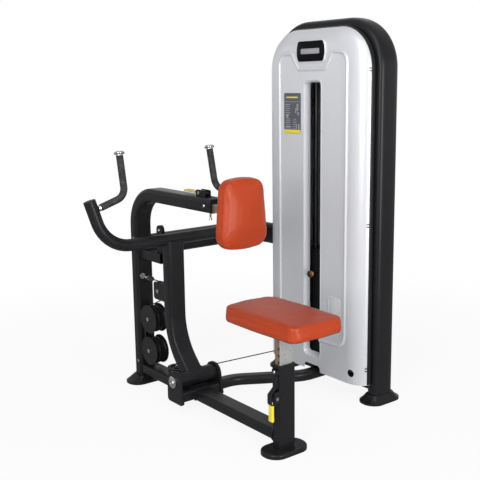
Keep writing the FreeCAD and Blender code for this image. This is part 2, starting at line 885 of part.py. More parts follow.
def bead():
    """Raised line that runs round the shroud's face and dips under its name plate."""
    near_y = tower_y - bead_half_width
    far_y = tower_y + bead_half_width
    x = shroud_front_x
    start = V(x, tower_y - slot_half_width + overrun, bead_bottom_z)
    points = [start,
              V(x, near_y, bead_bottom_z),
              V(x, near_y, bead_top_z),
              V(x, tower_y - bead_notch_top_half, bead_top_z),
              V(x, tower_y - bead_notch_bottom_half, bead_notch_z),
              V(x, tower_y + bead_notch_bottom_half, bead_notch_z),
              V(x, tower_y + bead_notch_top_half, bead_top_z),
              V(x, far_y, bead_top_z),
              V(x, far_y, bead_bottom_z),
              V(x, tower_y + slot_half_width - overrun, bead_bottom_z)]
    radii = [bead_low_corner, bead_top_corner, bead_notch_round, bead_notch_round,
             bead_notch_round, bead_notch_round, bead_top_corner, bead_low_corner]
    half = V(0, 0, bead_width / 2)
    root = V(shroud_wall / 2, 0, 0)
    crest = Part.Arc(start - half, start - V(bead_height, 0, 0), start + half).toShape()
    section = Part.Wire([crest] + straight(start + half, start + half + root)
                        + straight(start + half + root, start - half + root)
                        + straight(start - half + root, start - half))
    return sweep(bent_path(points, radii), section)


def front_shroud():
    """Pressed cover in front of the stack, with the selector slot, the bead and its openings."""
    shell = shroud_shell(shroud_front_x, shroud_back_x, shroud_bottom_z, shroud_margin)
    groove_half = shroud_half_width - shroud_groove_inset
    flange = arch_ring((shroud_back_x - shroud_wall, shroud_back_x), shroud_half_width - shroud_wall / 2,
                       groove_half - shroud_wall, shroud_bottom_z)
    rim = arch_ring((shroud_back_x - shroud_wall, leg_front_x), groove_half, groove_half - shroud_wall,
                    shroud_bottom_z)
    shell = shell.fuse([flange, rim, bead()])
    lip_x = shroud_front_x + slot_depth
    funnel = Part.makeLoft([slot_outline(shroud_front_x, -slot_wall),
                            slot_outline(shroud_front_x + slot_bevel, slot_bevel - slot_wall)], True, True)
    throat = extruded(slot_outline(shroud_front_x + slot_bevel, slot_bevel - slot_wall),
                      V(slot_depth - slot_bevel, 0, 0))
    shell = shell.fuse([funnel, throat])
    mouth = Part.makeLoft([slot_outline(shroud_front_x - overrun, -overrun),
                           slot_outline(shroud_front_x + slot_bevel, slot_bevel)], True, True)
    bore = extruded(slot_outline(shroud_front_x + slot_bevel, slot_bevel),
                    V(lip_x - shroud_front_x, 0, 0))
    recess = extruded(rectangle(recess_width, recess_height, recess_round,
                                V(shroud_front_x + recess_depth, recess_centre_y, recess_centre_z),
                                Y_AXIS, Z_AXIS), V(-recess_depth - overrun, 0, 0))
    access = cylinder(access_hole_radius, V(shroud_front_x - overrun, access_hole_y, access_hole_z),
                      V(leg_front_x, access_hole_y, access_hole_z))
    cable_y = cable_crossing_y(shroud_front_x)
    cable_hole = cylinder(cable_hole_radius, V(shroud_front_x - overrun, cable_y, cable_low_z),
                          V(leg_front_x, cable_y, cable_low_z))
    half = lower_link_width / 2 + cutout_clearance
    top_z = spine_top_z + cutout_top_clearance
    cutout_points = [V(shroud_front_x - overrun, lower_link_end_y - half, shroud_bottom_z - overrun),
                     V(shroud_front_x - overrun, lower_link_end_y + half, shroud_bottom_z - overrun),
                     V(shroud_front_x - overrun, lower_link_end_y + half, top_z),
                     V(shroud_front_x - overrun, lower_link_end_y - half, top_z)]
    cutout = extruded(outline(cutout_points, [0, 0, cutout_corner, cutout_corner]),
                      V(shroud_wall + 2 * overrun, 0, 0))
    return shell.cut([mouth, bore, recess, access, cable_hole, cutout])


def rear_shroud():
    """Plain cover behind the stack."""
    return shroud_shell(leg_rear_x + rear_shroud_depth, leg_rear_x, rear_shroud_bottom_z, rear_shroud_margin)


def guide_rods():
    """Two rods that the stack slides on."""
    rods = []
    for side in (-1, 1):
        y = tower_y + side * guide_rod_half_span
        rods.append(cylinder(guide_rod_radius, V(stack_x, y, spine_top_z), V(stack_x, y, top_beam_z)))
    return rods


def stack_buffers():
    """Rubber rings on the guide rods that the stack rests on."""
    profile = [(guide_rod_radius, 0), (buffer_radius, 0), (buffer_radius, buffer_height - buffer_round),
               (buffer_radius - buffer_round, buffer_height), (guide_rod_radius, buffer_height)]
    rings = []
    for side in (-1, 1):
        y = tower_y + side * guide_rod_half_span
        rings.append(placed(turned(profile), V(stack_x, y, spine_top_z), Z_AXIS))
    return rings


def weight_plate(bottom_z, height, with_pin_hole):
    """One plate of the stack with bores for the rods and, where it takes the pin, a pin hole."""
    centre = V(stack_x, tower_y, bottom_z)
    plate = extruded(rectangle(stack_plate_depth, stack_plate_width, stack_plate_corner, centre,
                               X_AXIS, Y_AXIS), V(0, 0, height))
    rod_bore = guide_rod_radius + guide_bore_gap
    cuts = []
    for side in (-1, 1):
        y = tower_y + side * guide_rod_half_span
        cuts.append(cylinder(rod_bore, V(stack_x, y, bottom_z - overrun),
                             V(stack_x, y, bottom_z + height + overrun)))
    if with_pin_hole:
        cuts.append(cylinder(selector_rod_radius + guide_bore_gap, V(stack_x, tower_y, bottom_z - overrun),
                             V(stack_x, tower_y, bottom_z + height + overrun)))
        hole_z = bottom_z + height / 2
        cuts.append(cylinder(pin_radius + pin_gap, V(stack_x - stack_plate_depth, tower_y, hole_z),
                             V(stack_x + pin_past_centre + pin_radius, tower_y, hole_z)))
    return plate.cut(cuts)


def top_plate():
    """Top plate of the stack with its cable boss and the bored rod that hangs through the plates."""
    plate = weight_plate(top_plate_bottom_z, top_plate_height, False)
    boss = cylinder(top_plate_boss_radius, V(stack_x, tower_y, top_plate_top_z),
                    V(stack_x, tower_y, top_plate_top_z + top_plate_boss_height))
    rod = cylinder(selector_rod_radius, V(stack_x, tower_y, selector_rod_end_z),
                   V(stack_x, tower_y, top_plate_bottom_z))
    count = resting_plate_count + lifted_plate_count
    holes = []
    for index in range(count):
        z = stack_bottom_z + index * stack_pitch + stack_plate_height / 2
        if z > selector_rod_end_z + selector_rod_radius:
            holes.append(cylinder(pin_radius + pin_gap, V(stack_x - stack_plate_depth, tower_y, z),
                                  V(stack_x + stack_plate_depth, tower_y, z)))
    return plate.fuse([boss, rod.cut(holes)])


def selector_pin():
    """Pin through the lowest lifted plate and the rod."""
    head_x = knob_front_x + knob_length
    return cylinder(pin_radius, V(head_x, tower_y, pin_z), V(stack_x + pin_past_centre, tower_y, pin_z))


def selector_knob():
    """Round pull knob on the pin."""
    profile = [(0, 0), (knob_neck_radius, 0), (knob_neck_radius, knob_length / 3),
               (knob_radius, knob_length / 2), (knob_radius, knob_length - knob_round),
               (knob_radius - knob_round, knob_length), (0, knob_length)]
    return placed(turned(profile), V(knob_front_x + knob_length, tower_y, pin_z), -X_AXIS)


# Cable and pulleys

def pulley(groove_radius, rim_radius, width, centre, axis):
    """Grooved wheel with a hub, a thinner web and a bore for its axle."""
    half = width / 2
    groove_half = width * pulley_groove_half_share
    hub = rim_radius * pulley_hub_share
    web_outer = groove_radius * pulley_web_outer_share
    web = half * pulley_web_share
    bore = axle_radius + fit_gap
    upper = [(groove_radius, groove_floor_half), (rim_radius, groove_half), (rim_radius, half),
             (web_outer, half), (web_outer, web), (hub, web), (hub, half), (bore, half)]
    lower = [(radius, -height) for radius, height in reversed(upper)]
    return placed(turned(upper + lower), centre, axis)


def axle(centre, axis, half_length):
    """Bolt with a flat head at each end, through a pulley and its side plates."""
    top = half_length + axle_head_height
    profile = [(0, -top), (axle_head_radius, -top), (axle_head_radius, -half_length),
               (axle_radius, -half_length), (axle_radius, half_length),
               (axle_head_radius, half_length), (axle_head_radius, top), (0, top)]
    return placed(turned(profile), centre, axis)


def column_axle(centre_z):
    """Bolt of a column pulley, with the spacer that holds the far guard off the pulley."""
    near = -column_pulley_width / 2 - guard_gap - guard_thickness
    far = far_guard_offset + guard_thickness
    profile = [(0, near - axle_head_height), (axle_head_radius, near - axle_head_height),
               (axle_head_radius, near), (axle_radius, near),
               (axle_radius, column_pulley_width / 2 + guard_gap),
               (spacer_radius, column_pulley_width / 2 + guard_gap), (spacer_radius, far_guard_offset),
               (axle_radius, far_guard_offset), (axle_radius, far),
               (axle_head_radius, far), (axle_head_radius, far + axle_head_height),
               (0, far + axle_head_height)]
    return placed(turned(profile), V(cable_x, column_pulley_y, centre_z), X_AXIS)


def low_run_direction():
    """Direction of the low cable run from the floor pulley to the tower."""
    first, second = belt_direction((floor_pulley_x, floor_pulley_y), floor_wrap, (stack_x, riser_y), 0)
    return V(first, second, 0)


def cable_crossing_y(x):
    """Place where the low cable run crosses a plane of constant X."""
    direction = low_run_direction()
    return riser_y + (x - stack_x) * direction.y / direction.x


def tower_pulley_centre():
    """Centre of the pulley that turns the low cable run upwards."""
    return V(stack_x, riser_y, cable_low_z) - low_run_direction() * tower_wrap + Z_AXIS * tower_wrap


def cable_path():
    """Starting point and the arcs of the cable, from its fitting on the column to the tower's top."""
    first, second = belt_direction((block_y, block_z), block_wrap,
                                   (column_pulley_y, column_pulley_high_z), -column_wrap)
    to_column = V(0, first, second)
    low_run = low_run_direction()
    anchor_end_y = column_front_y - anchor_rod_length - anchor_plate_thickness - anchor_socket_length
    start = V(cable_x, anchor_end_y, block_z + block_wrap)
    wraps = [
        wrap(V(cable_x, block_y, block_z), block_wrap, -Y_AXIS, to_column),
        wrap(V(cable_x, column_pulley_y, column_pulley_high_z), column_wrap, to_column, -Z_AXIS),
        wrap(V(cable_x, column_pulley_y, column_pulley_low_z), column_wrap, -Z_AXIS, -Y_AXIS),
        wrap(V(floor_pulley_x, floor_pulley_y, cable_low_z), floor_wrap, -Y_AXIS, low_run),
        wrap(tower_pulley_centre(), tower_wrap, low_run, Z_AXIS),
        wrap(V(stack_x, riser_y - tower_wrap, top_pulley_z), tower_wrap, Z_AXIS, -Y_AXIS),
        wrap(V(stack_x, tower_y + tower_wrap, top_pulley_z), tower_wrap, -Y_AXIS, -Z_AXIS),
    ]
    return start, wraps


def cable_along(start, wraps, end):
    """Cable from a point over some of the pulleys to another point."""
    edges = []
    point = start
    for arc in wraps:
        edges += straight(point, arc[0])
        edges.append(Part.Arc(*arc).toShape())
        point = arc[2]
    edges += straight(point, end)
    path = Part.Wire(edges)
    first_point = path.OrderedEdges[0].tangentAt(path.OrderedEdges[0].FirstParameter)
    return round_bar(path, start, first_point, cable_radius)


def lever_cable():
    """First stretch of the cable: from its fitting round the lever's wheel to the column's pulley."""
    start, wraps = cable_path()
    return cable_along(start, wraps[:1], wraps[1][0])


def main_cable():
    """Second stretch of the cable: over the column's, the floor's and the tower's pulleys."""
    start, wraps = cable_path()
    return cable_along(wraps[1][0], wraps[1:], wraps[-1][2])


def stack_cable():
    """Upright end of the cable, between the front top pulley and the stack."""
    return cylinder(cable_radius, V(stack_x, tower_y, top_plate_top_z + top_plate_boss_height),
                    V(stack_x, tower_y, top_pulley_z))


def cable_anchor():
    """Plated fitting that fastens the cable's end to the column: plate, nut, rod and socket."""
    plate_end = anchor_plate_thickness
    nut_end = plate_end + anchor_nut_length
    rod_end = plate_end + anchor_rod_length
    socket_end = rod_end + anchor_socket_length
    profile = [(0, 0), (anchor_plate_radius, 0), (anchor_plate_radius, plate_end),
               (anchor_nut_radius, plate_end), (anchor_nut_radius, nut_end),
               (anchor_rod_radius, nut_end), (anchor_rod_radius, rod_end - anchor_nut_length),
               (anchor_nut_radius, rod_end - anchor_nut_length), (anchor_nut_radius, rod_end),
               (anchor_socket_radius, rod_end), (anchor_socket_radius, socket_end), (0, socket_end)]
    return placed(turned(profile), V(cable_x, column_front_y, block_z + block_wrap), -Y_AXIS)


def guard_plate(centre_z, inner_x, outer_x):
    """Side plate beside a column pulley, with a tongue to the column's face."""
    disc = cylinder(guard_radius, V(inner_x, column_pulley_y, centre_z), V(outer_x, column_pulley_y, centre_z))
    low_x = min(inner_x, outer_x)
    high_x = max(inner_x, outer_x)
    tongue = block((low_x, high_x), (column_pulley_y, column_front_y),
                   (centre_z - guard_tongue_height / 2, centre_z + guard_tongue_height / 2))
    bore = cylinder(axle_radius, V(inner_x - column_wrap, column_pulley_y, centre_z),
                    V(inner_x + column_wrap, column_pulley_y, centre_z))
    return disc.fuse(tongue).cut(bore).removeSplitter()


def column_pulley_guards():
    """Guards of the two column pulleys, one on each side of each pulley."""
    plates = []
    near_x = cable_x - column_pulley_width / 2 - guard_gap
    far_x = cable_x + far_guard_offset
    for centre_z in (column_pulley_low_z, column_pulley_high_z):
        plates.append(guard_plate(centre_z, near_x, near_x - guard_thickness))
        plates.append(guard_plate(centre_z, far_x, far_x + guard_thickness))
    return plates


def pulley_brackets():
    """Boss plate under the floor pulley and the two side plates of the tower's low pulley."""
    half = floor_bracket_width / 2
    base = block((floor_pulley_x - half, spine_width / 2), (floor_pulley_y - half, floor_pulley_y + half),
                 (spine_top_z, spine_top_z + floor_bracket_thickness))
    boss = cylinder(floor_boss_radius, V(floor_pulley_x, floor_pulley_y, spine_top_z),
                    V(floor_pulley_x, floor_pulley_y, cable_low_z - pulley_width / 2 - bracket_gap))
    bore = cylinder(axle_radius, V(floor_pulley_x, floor_pulley_y, spine_top_z - overrun),
                    V(floor_pulley_x, floor_pulley_y, cable_low_z))
    solids = [base.fuse(boss).cut(bore)]
    centre = tower_pulley_centre()
    along = low_run_direction()
    across = Z_AXIS.cross(along)
    foot_x = tower_x - spine_width / 2
    foot_start = (foot_x - centre.x) / along.x + bracket_corner
    foot_end = foot_start + spine_width / 2
    rise = centre.z - spine_top_z
    for side in (-1, 1):
        inner = across * (side * (pulley_width / 2 + bracket_gap))
        origin = V(centre.x, centre.y, spine_top_z) + inner
        corners = [origin + along * foot_start, origin + along * foot_end,
                   origin + along * bracket_reach + Z_AXIS * (rise + bracket_reach),
                   origin - along * bracket_reach + Z_AXIS * (rise + bracket_reach),
                   origin - along * bracket_reach + Z_AXIS * (rise - bracket_reach)]
        plate = extruded(outline(corners, [0, 0, bracket_corner, bracket_corner, bracket_corner]),
                         across * (side * bracket_thickness))
        hole = cylinder(axle_radius, centre - across * tower_wrap, centre + across * tower_wrap)
        solids.append(plate.cut(hole))
    return solids


def pulley_axles():
    """Axles of all the pulleys that the frame carries."""
    solids = [column_axle(centre_z) for centre_z in (column_pulley_low_z, column_pulley_high_z)]
    half = pulley_width / 2 + bracket_gap + bracket_thickness
    across = Z_AXIS.cross(low_run_direction())
    solids.append(axle(tower_pulley_centre(), across, half))
    for centre_y in (tower_y + tower_wrap, riser_y - tower_wrap):
        solids.append(axle(V(stack_x, centre_y, top_pulley_z), X_AXIS, half))
    top_z = cable_low_z + pulley_width / 2 + bracket_gap
    profile = [(0, spine_top_z), (axle_radius, spine_top_z), (axle_radius, top_z), (axle_head_radius, top_z),
               (axle_head_radius, top_z + axle_head_height), (0, top_z + axle_head_height)]
    solids.append(placed(turned(profile), V(floor_pulley_x, floor_pulley_y, 0), Z_AXIS))
    return solids


# Lever

def lever_paths():
    """Start point, direction and path of the lever's tube, from the shaft to the crossbar."""
    lean = math.radians(lever_lean)
    along = V(0, math.sin(lean), math.cos(lean))
    start = V(0, pivot_y, pivot_z)
    bend = start + along * ((lever_y - pivot_y) / along.y)
    end = V(0, lever_y, crossbar_z - lever_top_drop)
    return start, along, bent_path([start, bend, end], [lever_bend_radius])


def crossbar_points():
    """Corner points of the crossbar's centre line."""
    return [V(-arm_tip_x, arm_tip_y, arm_tip_z), V(-crossbar_corner_x, lever_y, crossbar_z),
            V(crossbar_corner_x, lever_y, crossbar_z), V(arm_tip_x, arm_tip_y, arm_tip_z)]


def handle_points():
    """Corner points of the right-hand handle's centre line, from the raised arm's centre."""
    points = crossbar_points()
    root = points[2] + (points[3] - points[2]) * handle_root_share
    return [root, V(handle_corner_x, handle_corner_y, handle_corner_z),
            V(handle_tip_x, handle_tip_y, handle_tip_z)]


def crossbar_solid(radius):
    """Round bar along the crossbar's centre line."""
    points = crossbar_points()
    path = bent_path(points, [crossbar_bend_radius] * 2)
    return round_bar(path, points[0], unit(points[1] - points[0]), radius)


def lever_sleeve():
    """Bearing sleeve of the lever, relieved between its two bearings."""
    bore = shaft_radius + fit_gap
    relief = sleeve_radius - sleeve_wall
    end = sleeve_half_length
    step = end - sleeve_bearing_length
    profile = [(bore, -end), (sleeve_radius, -end), (sleeve_radius, end), (bore, end), (bore, step),
               (relief, step), (relief, -step), (bore, -step)]
    return placed(turned(profile), V(0, pivot_y, pivot_z), X_AXIS)


def lever_tube():
    """Bent tube from the sleeve up to the crossbar, coped at both ends."""
    start, along, path = lever_paths()
    outer, tube = box_tube(path, start, along, X_AXIS, frame_tube_width, lever_tube_depth,
                           frame_tube_corner, frame_tube_wall)
    sleeve_space = cylinder(sleeve_radius, V(-frame_tube_width, pivot_y, pivot_z),
                            V(frame_tube_width, pivot_y, pivot_z))
    bar_space = cylinder(crossbar_radius, V(-frame_tube_width, lever_y, crossbar_z),
                         V(frame_tube_width, lever_y, crossbar_z))
    return tube.cut([sleeve_space, bar_space])


def crossbar():
    """Hollow bar with raised ends, with the bars of the two handles welded on."""
    outer = crossbar_solid(crossbar_radius)
    bar = outer.cut(crossbar_solid(crossbar_radius - crossbar_wall))
    points = handle_points()
    path = bent_path(points, [handle_bend_radius])
    handle = round_bar(path, points[0], unit(points[1] - points[0]), handle_bar_radius).cut(outer)
    return bar.fuse(both_sides(handle))


def crossbar_caps():
    """Plastic plugs in the crossbar's two ends."""
    plug_radius = crossbar_radius - crossbar_wall
    profile = [(0, -tip_plug_length), (plug_radius, -tip_plug_length), (plug_radius, 0),
               (crossbar_radius, 0), (crossbar_radius, tip_cap_height - tip_cap_round),
               (crossbar_radius - tip_cap_round, tip_cap_height), (0, tip_cap_height)]
    points = crossbar_points()
    return both_sides(placed(turned(profile), points[3], unit(points[3] - points[2])))


def handle_grips():
    """Rubber sleeves over the two handles."""
    points = handle_points()
    along = unit(points[1] - points[0])
    start = points[0] + along * (handle_collar_start + handle_collar_length)
    path = bent_path([start] + points[1:], [handle_bend_radius])
    grip = round_bar(path, start, along, grip_radius)
    return both_sides(grip.cut(round_bar(path, start, along, handle_bar_radius)))


def handle_ends():
    """Plated collar at the root and flared cap at the tip of each handle."""
    points = handle_points()
    ring = [(handle_bar_radius, 0), (handle_collar_radius, 0),
            (handle_collar_radius, handle_collar_length), (handle_bar_radius, handle_collar_length)]
    along = unit(points[1] - points[0])
    collar = placed(turned(ring), points[0] + along * handle_collar_start, along)
    rim_z = handle_cap_height - handle_cap_rim
    middle_radius = (grip_radius + handle_cap_radius) / 2
    flare = Part.Arc(V(grip_radius, 0, handle_cap_neck),
                     V(middle_radius - handle_cap_rim / 2, 0, (handle_cap_neck + rim_z) / 2),
                     V(handle_cap_radius, 0, rim_z)).toShape()
    crown_base = handle_cap_radius - handle_cap_rim / 2
    crown_radius = (crown_base ** 2 + handle_cap_rim ** 2) / (2 * handle_cap_rim)
    crown_centre_z = handle_cap_height + handle_cap_rim - crown_radius
    crown_middle_z = crown_centre_z + math.sqrt(crown_radius ** 2 - crown_base ** 2 / 4)
    crown = Part.Arc(V(crown_base, 0, handle_cap_height), V(crown_base / 2, 0, crown_middle_z),
                     V(0, 0, handle_cap_height + handle_cap_rim)).toShape()
    corners = [V(0, 0, 0), V(grip_radius, 0, 0), V(grip_radius, 0, handle_cap_neck)]
    edges = straight(corners[0], corners[1]) + straight(corners[1], corners[2]) + [flare]
    edges += straight(V(handle_cap_radius, 0, rim_z), V(handle_cap_radius, 0, handle_cap_height - handle_cap_rim / 2))
    edges += straight(V(handle_cap_radius, 0, handle_cap_height - handle_cap_rim / 2),
                      V(handle_cap_radius - handle_cap_rim / 2, 0, handle_cap_height))
    edges.append(crown)
    edges += straight(V(0, 0, handle_cap_height + handle_cap_rim), corners[0])
    cap = Part.Face(Part.Wire(edges)).revolve(V(0, 0, 0), Z_AXIS, 360)
    cap = placed(cap, points[2], unit(points[2] - points[1]))
    return both_sides(collar) + both_sides(cap)


def block_plates():
    """Bracket on the lever's back that carries the cable's wheel."""
    inner = block_wheel_width / 2 + block_plate_gap
    outer = inner + block_plate_thickness
    back_y = block_y + block_plate_reach
    low_z = block_z - block_plate_half_height
    high_z = block_z + block_plate_half_height
    solids = []
    for side in (-1, 1):
        x = cable_x + side * inner
        corners = [V(x, lever_back_y, low_z), V(x, back_y, low_z), V(x, back_y, high_z), V(x, lever_back_y, high_z)]
        plate = extruded(outline(corners, [0, block_plate_corner, block_plate_corner, 0]),
                         V(side * block_plate_thickness, 0, 0))
        hole = cylinder(axle_radius, V(cable_x - outer * 2, block_y, block_z), V(cable_x + outer * 2, block_y, block_z))
        solids.append(plate.cut(hole))
    web = block((cable_x - inner, cable_x + inner), (lever_back_y, lever_back_y + bracket_thickness),
                (low_z, high_z))
    return web.fuse(solids)


def block_axle():
    """Axle of the lever's wheel."""
    return axle(V(cable_x, block_y, block_z), X_AXIS,
                block_wheel_width / 2 + block_plate_gap + block_plate_thickness)


# Seat

def seat_stem():
    """Plated tube under the seat with a row of holes on its left face."""
    tube = straight_box_tube(V(0, 0, stem_bottom_z), V(0, 0, seat_plate_bottom_z), X_AXIS,
                             stem_width, stem_depth, stem_corner, stem_wall)
    holes = []
    for index in range(-stem_holes_below, stem_holes_above + 1):
        z = seat_latch_pin_z + index * stem_hole_pitch
        holes.append(cylinder(stem_hole_radius, V(-stem_width, seat_latch_y, z), V(0, seat_latch_y, z)))
    return tube.cut(holes)


def seat_outline(z, inset):
    """Outline of the seat pad at one height: square at the back, rounder at the front."""
    rear = seat_pad_rear_width / 2 - inset
    side = seat_pad_width / 2 - inset
    points = [V(-rear, seat_pad_rear_y + inset, z), V(rear, seat_pad_rear_y + inset, z),
              V(side, seat_pad_wide_y, z), V(side, seat_pad_nose_y - inset, z),
              V(-side, seat_pad_nose_y - inset, z), V(-side, seat_pad_wide_y, z)]
    radii = [seat_pad_rear_corner, seat_pad_rear_corner, seat_pad_side_radius,
             seat_pad_nose_corner, seat_pad_nose_corner, seat_pad_side_radius]
    return outline(points, radii)


def seat_pad():
    """Seat cushion with a crowned top and drawn-in sides."""
    sections = []
    for rise, inset in zip(cushion_rise_shares, cushion_inset_shares):
        sections.append(seat_outline(seat_pad_bottom_z + seat_pad_height * rise, seat_pad_edge_inset * inset))
    return Part.makeLoft(sections, True, True)


def seat_plate():
    """Steel plate under the cushion."""
    rear = seat_pad_rear_y + seat_plate_margin
    nose = seat_pad_nose_y - seat_plate_margin
    width = seat_pad_rear_width - 2 * seat_plate_margin
    centre = V(0, (rear + nose) / 2, seat_plate_bottom_z)
    return extruded(rectangle(width, nose - rear, seat_plate_corner, centre, X_AXIS, Y_AXIS),
                    V(0, 0, seat_plate_thickness))


# Chest support

def chest_outline(y, inset):
    """Outline of the chest pad at one depth: wider at the bottom than at the top."""
    low = chest_pad_bottom_width / 2 - inset
    high = chest_pad_top_width / 2 - inset
    bottom_z = chest_pad_bottom_z + inset
    top_z = chest_pad_bottom_z + chest_pad_height - inset
    low_corner_z = bottom_z + chest_pad_edge_arch
    high_corner_z = top_z - chest_pad_edge_arch
    points = [V(-low, y, low_corner_z), V(0, y, bottom_z), V(low, y, low_corner_z),
              V(high, y, high_corner_z), V(0, y, top_z), V(-high, y, high_corner_z)]
    bottom_radius = chest_pad_bottom_corner - inset
    top_radius = chest_pad_top_corner - inset
    radii = [bottom_radius, chest_pad_edge_radius, bottom_radius, top_radius, chest_pad_edge_radius, top_radius]
    return outline(points, radii)


def chest_pad():
    """Chest cushion with a crowned front and drawn-in sides."""
    back_y = chest_pad_front_y + chest_pad_depth
    sections = []
    for rise, inset in zip(cushion_rise_shares, cushion_inset_shares):
        sections.append(chest_outline(back_y - chest_pad_depth * rise, chest_pad_edge_inset * inset))
    return Part.makeLoft(sections, True, True)


def chest_plate():
    """Steel plate behind the chest cushion."""
    height = chest_pad_height - 2 * chest_plate_margin
    width = chest_pad_top_width - 2 * chest_plate_margin
    centre = V(0, chest_plate_front_y, chest_pad_bottom_z + chest_pad_height / 2)
    return extruded(rectangle(width, height, chest_plate_corner, centre, X_AXIS, Z_AXIS),
                    V(0, chest_plate_thickness, 0))


def chest_slide():
    """Plated tube that carries the chest pad in the arm's end."""
    return straight_box_tube(V(0, chest_plate_back_y, slide_centre_z), V(0, slide_inner_end_y, slide_centre_z),
                             X_AXIS, slide_width, slide_height, slide_corner, slide_wall)


def chest_index_bar():
    """Flat bar on the slide tube with the holes that the latch pin drops into."""
    half = index_bar_width / 2
    bar = block((-half, half), (chest_plate_back_y, index_bar_end_y),
                (slide_top_z, slide_top_z + index_bar_thickness))
    holes = []
    for index in range(-index_holes_ahead, index_holes_behind + 1):
        y = pad_latch_pin_y + index * index_hole_pitch
        if chest_plate_back_y + index_hole_radius < y < index_bar_end_y - index_hole_radius:
            holes.append(cylinder(index_hole_radius, V(0, y, slide_top_z - overrun),
                                  V(0, y, slide_top_z + index_bar_thickness + overrun)))
    return bar.cut(holes)


def arm_end_bush():
    """Plastic bush in the arm's mouth that the slide tube runs in."""
    inner_width = frame_tube_width - 2 * frame_tube_wall
    inner_depth = frame_tube_depth - 2 * frame_tube_wall
    plug = extruded(rectangle(inner_width, inner_depth, frame_tube_corner - frame_tube_wall,
                              V(0, arm_end_y, arm_centre_z), X_AXIS, Z_AXIS), V(0, bush_length, 0))
    flange = extruded(rectangle(frame_tube_width, frame_tube_depth, frame_tube_corner,
                                V(0, arm_end_y, arm_centre_z), X_AXIS, Z_AXIS), V(0, -bush_flange, 0))
    front = [edge for edge in flange.Edges if edge.BoundBox.YMax < arm_end_y - bush_flange + shortest_edge]
    flange = flange.makeFillet(bush_round, front)
    low_y = arm_end_y - bush_flange - overrun
    high_y = arm_end_y + bush_length + overrun
    mouth = extruded(rectangle(slide_width + 2 * slide_gap, slide_height + 2 * slide_gap,
                               slide_corner + slide_gap, V(0, low_y, slide_centre_z), X_AXIS, Z_AXIS),
                     V(0, high_y - low_y, 0))
    half = index_bar_width / 2 + slide_gap
    notch = block((-half, half), (low_y, high_y),
                  (slide_centre_z, slide_top_z + index_bar_thickness + slide_gap))
    return plug.fuse(flange).cut([mouth, notch])


# Latches

def cheek(x_range, y_range, z_range, corner_name):
    """Flat bracket side plate with its free corners rounded."""
    plate = block(x_range, y_range, z_range)
    if corner_name == "x":
        edges = [edge for edge in plate.Edges
                 if edge.BoundBox.XMax < x_range[0] + shortest_edge and edge.BoundBox.YLength > shortest_edge]
    else:
        edges = [edge for edge in plate.Edges
                 if edge.BoundBox.ZMin > z_range[1] - shortest_edge and edge.BoundBox.XLength > shortest_edge]
    return plate.makeFillet(latch_cheek_corner, edges)


def latch_brackets():
    """Pairs of cheeks that carry the two latches, and the hood over the seat latch's top."""
    inner = latch_lever_width / 2 + bracket_gap
    outer = inner + latch_cheek_thickness
    fulcrum_x = seat_latch_fulcrum_x
    solids = []
    for low, high in ((-outer, -inner), (inner, outer)):
        plate = cheek((fulcrum_x - seat_latch_cheek_reach, post_side_x),
                      (seat_latch_y + low, seat_latch_y + high),
                      (seat_latch_cheek_low_z, seat_latch_cheek_high_z), "x")
        solids.append(plate)
    fulcrum_z = arm_top_z + pad_latch_fulcrum_rise
    for low_x, high_x in ((-outer, -inner), (inner, outer)):
        plate = cheek((low_x, high_x), (pad_latch_front_y, pad_latch_back_y),
                      (arm_top_z, arm_top_z + pad_latch_height), "z")
        solids.append(plate)
    holes = [
        cylinder(latch_bolt_radius, V(fulcrum_x, -outer * 2, seat_latch_fulcrum_z),
                 V(fulcrum_x, outer * 2, seat_latch_fulcrum_z)),
        cylinder(latch_bolt_radius, V(-outer * 2, pad_latch_fulcrum_y, fulcrum_z),
                 V(outer * 2, pad_latch_fulcrum_y, fulcrum_z)),
    ]
    hood = block((post_side_x - seat_latch_hood_reach, post_side_x),
                 (seat_latch_y - outer, seat_latch_y + outer),
                 (seat_latch_hood_low_z, seat_latch_hood_high_z))
    return [plate.cut(holes) for plate in solids] + [hood]


def seat_latch_lever():
    """Bent lever beside the post: the pin at its top, the elbow past its bolt, the grip's tang below."""
    fulcrum_x = seat_latch_fulcrum_x
    bar_x = post_side_x - seat_latch_bar_stand_off
    elbow_x = post_side_x - seat_latch_elbow_stand_off
    grip_x = post_side_x - seat_grip_stand_off
    half_thickness = latch_lever_thickness / 2
    low_y = seat_latch_y - latch_lever_width / 2
    high_y = seat_latch_y + latch_lever_width / 2
    line = [V(bar_x, low_y, seat_latch_lever_top_z), V(bar_x, low_y, seat_latch_knee_z),
            V(elbow_x, low_y, seat_latch_elbow_top_z), V(elbow_x, low_y, seat_latch_elbow_low_z),
            V(grip_x, low_y, seat_grip_top_z), V(grip_x, low_y, seat_grip_top_z - seat_grip_length / 2)]
    side = V(half_thickness, 0, 0)
    corners = [point + side for point in line] + [point - side for point in reversed(line)]
    bar = extruded(outline(corners, [0] * len(corners)), V(0, latch_lever_width, 0))
    ear = block((elbow_x, fulcrum_x), (low_y, high_y),
                (seat_latch_fulcrum_z - latch_eye_radius, seat_latch_fulcrum_z + latch_eye_radius))
    eye = cylinder(latch_eye_radius, V(fulcrum_x, low_y, seat_latch_fulcrum_z),
                   V(fulcrum_x, high_y, seat_latch_fulcrum_z))
    pin = cylinder(latch_pin_radius, V(bar_x, seat_latch_y, seat_latch_pin_z),
                   V(-stem_width / 2 - soft_gap, seat_latch_y, seat_latch_pin_z))
    bore = cylinder(latch_bolt_radius + fit_gap, V(fulcrum_x, low_y - overrun, seat_latch_fulcrum_z),
                    V(fulcrum_x, high_y + overrun, seat_latch_fulcrum_z))
    return bar.fuse([ear, eye, pin]).cut(bore)


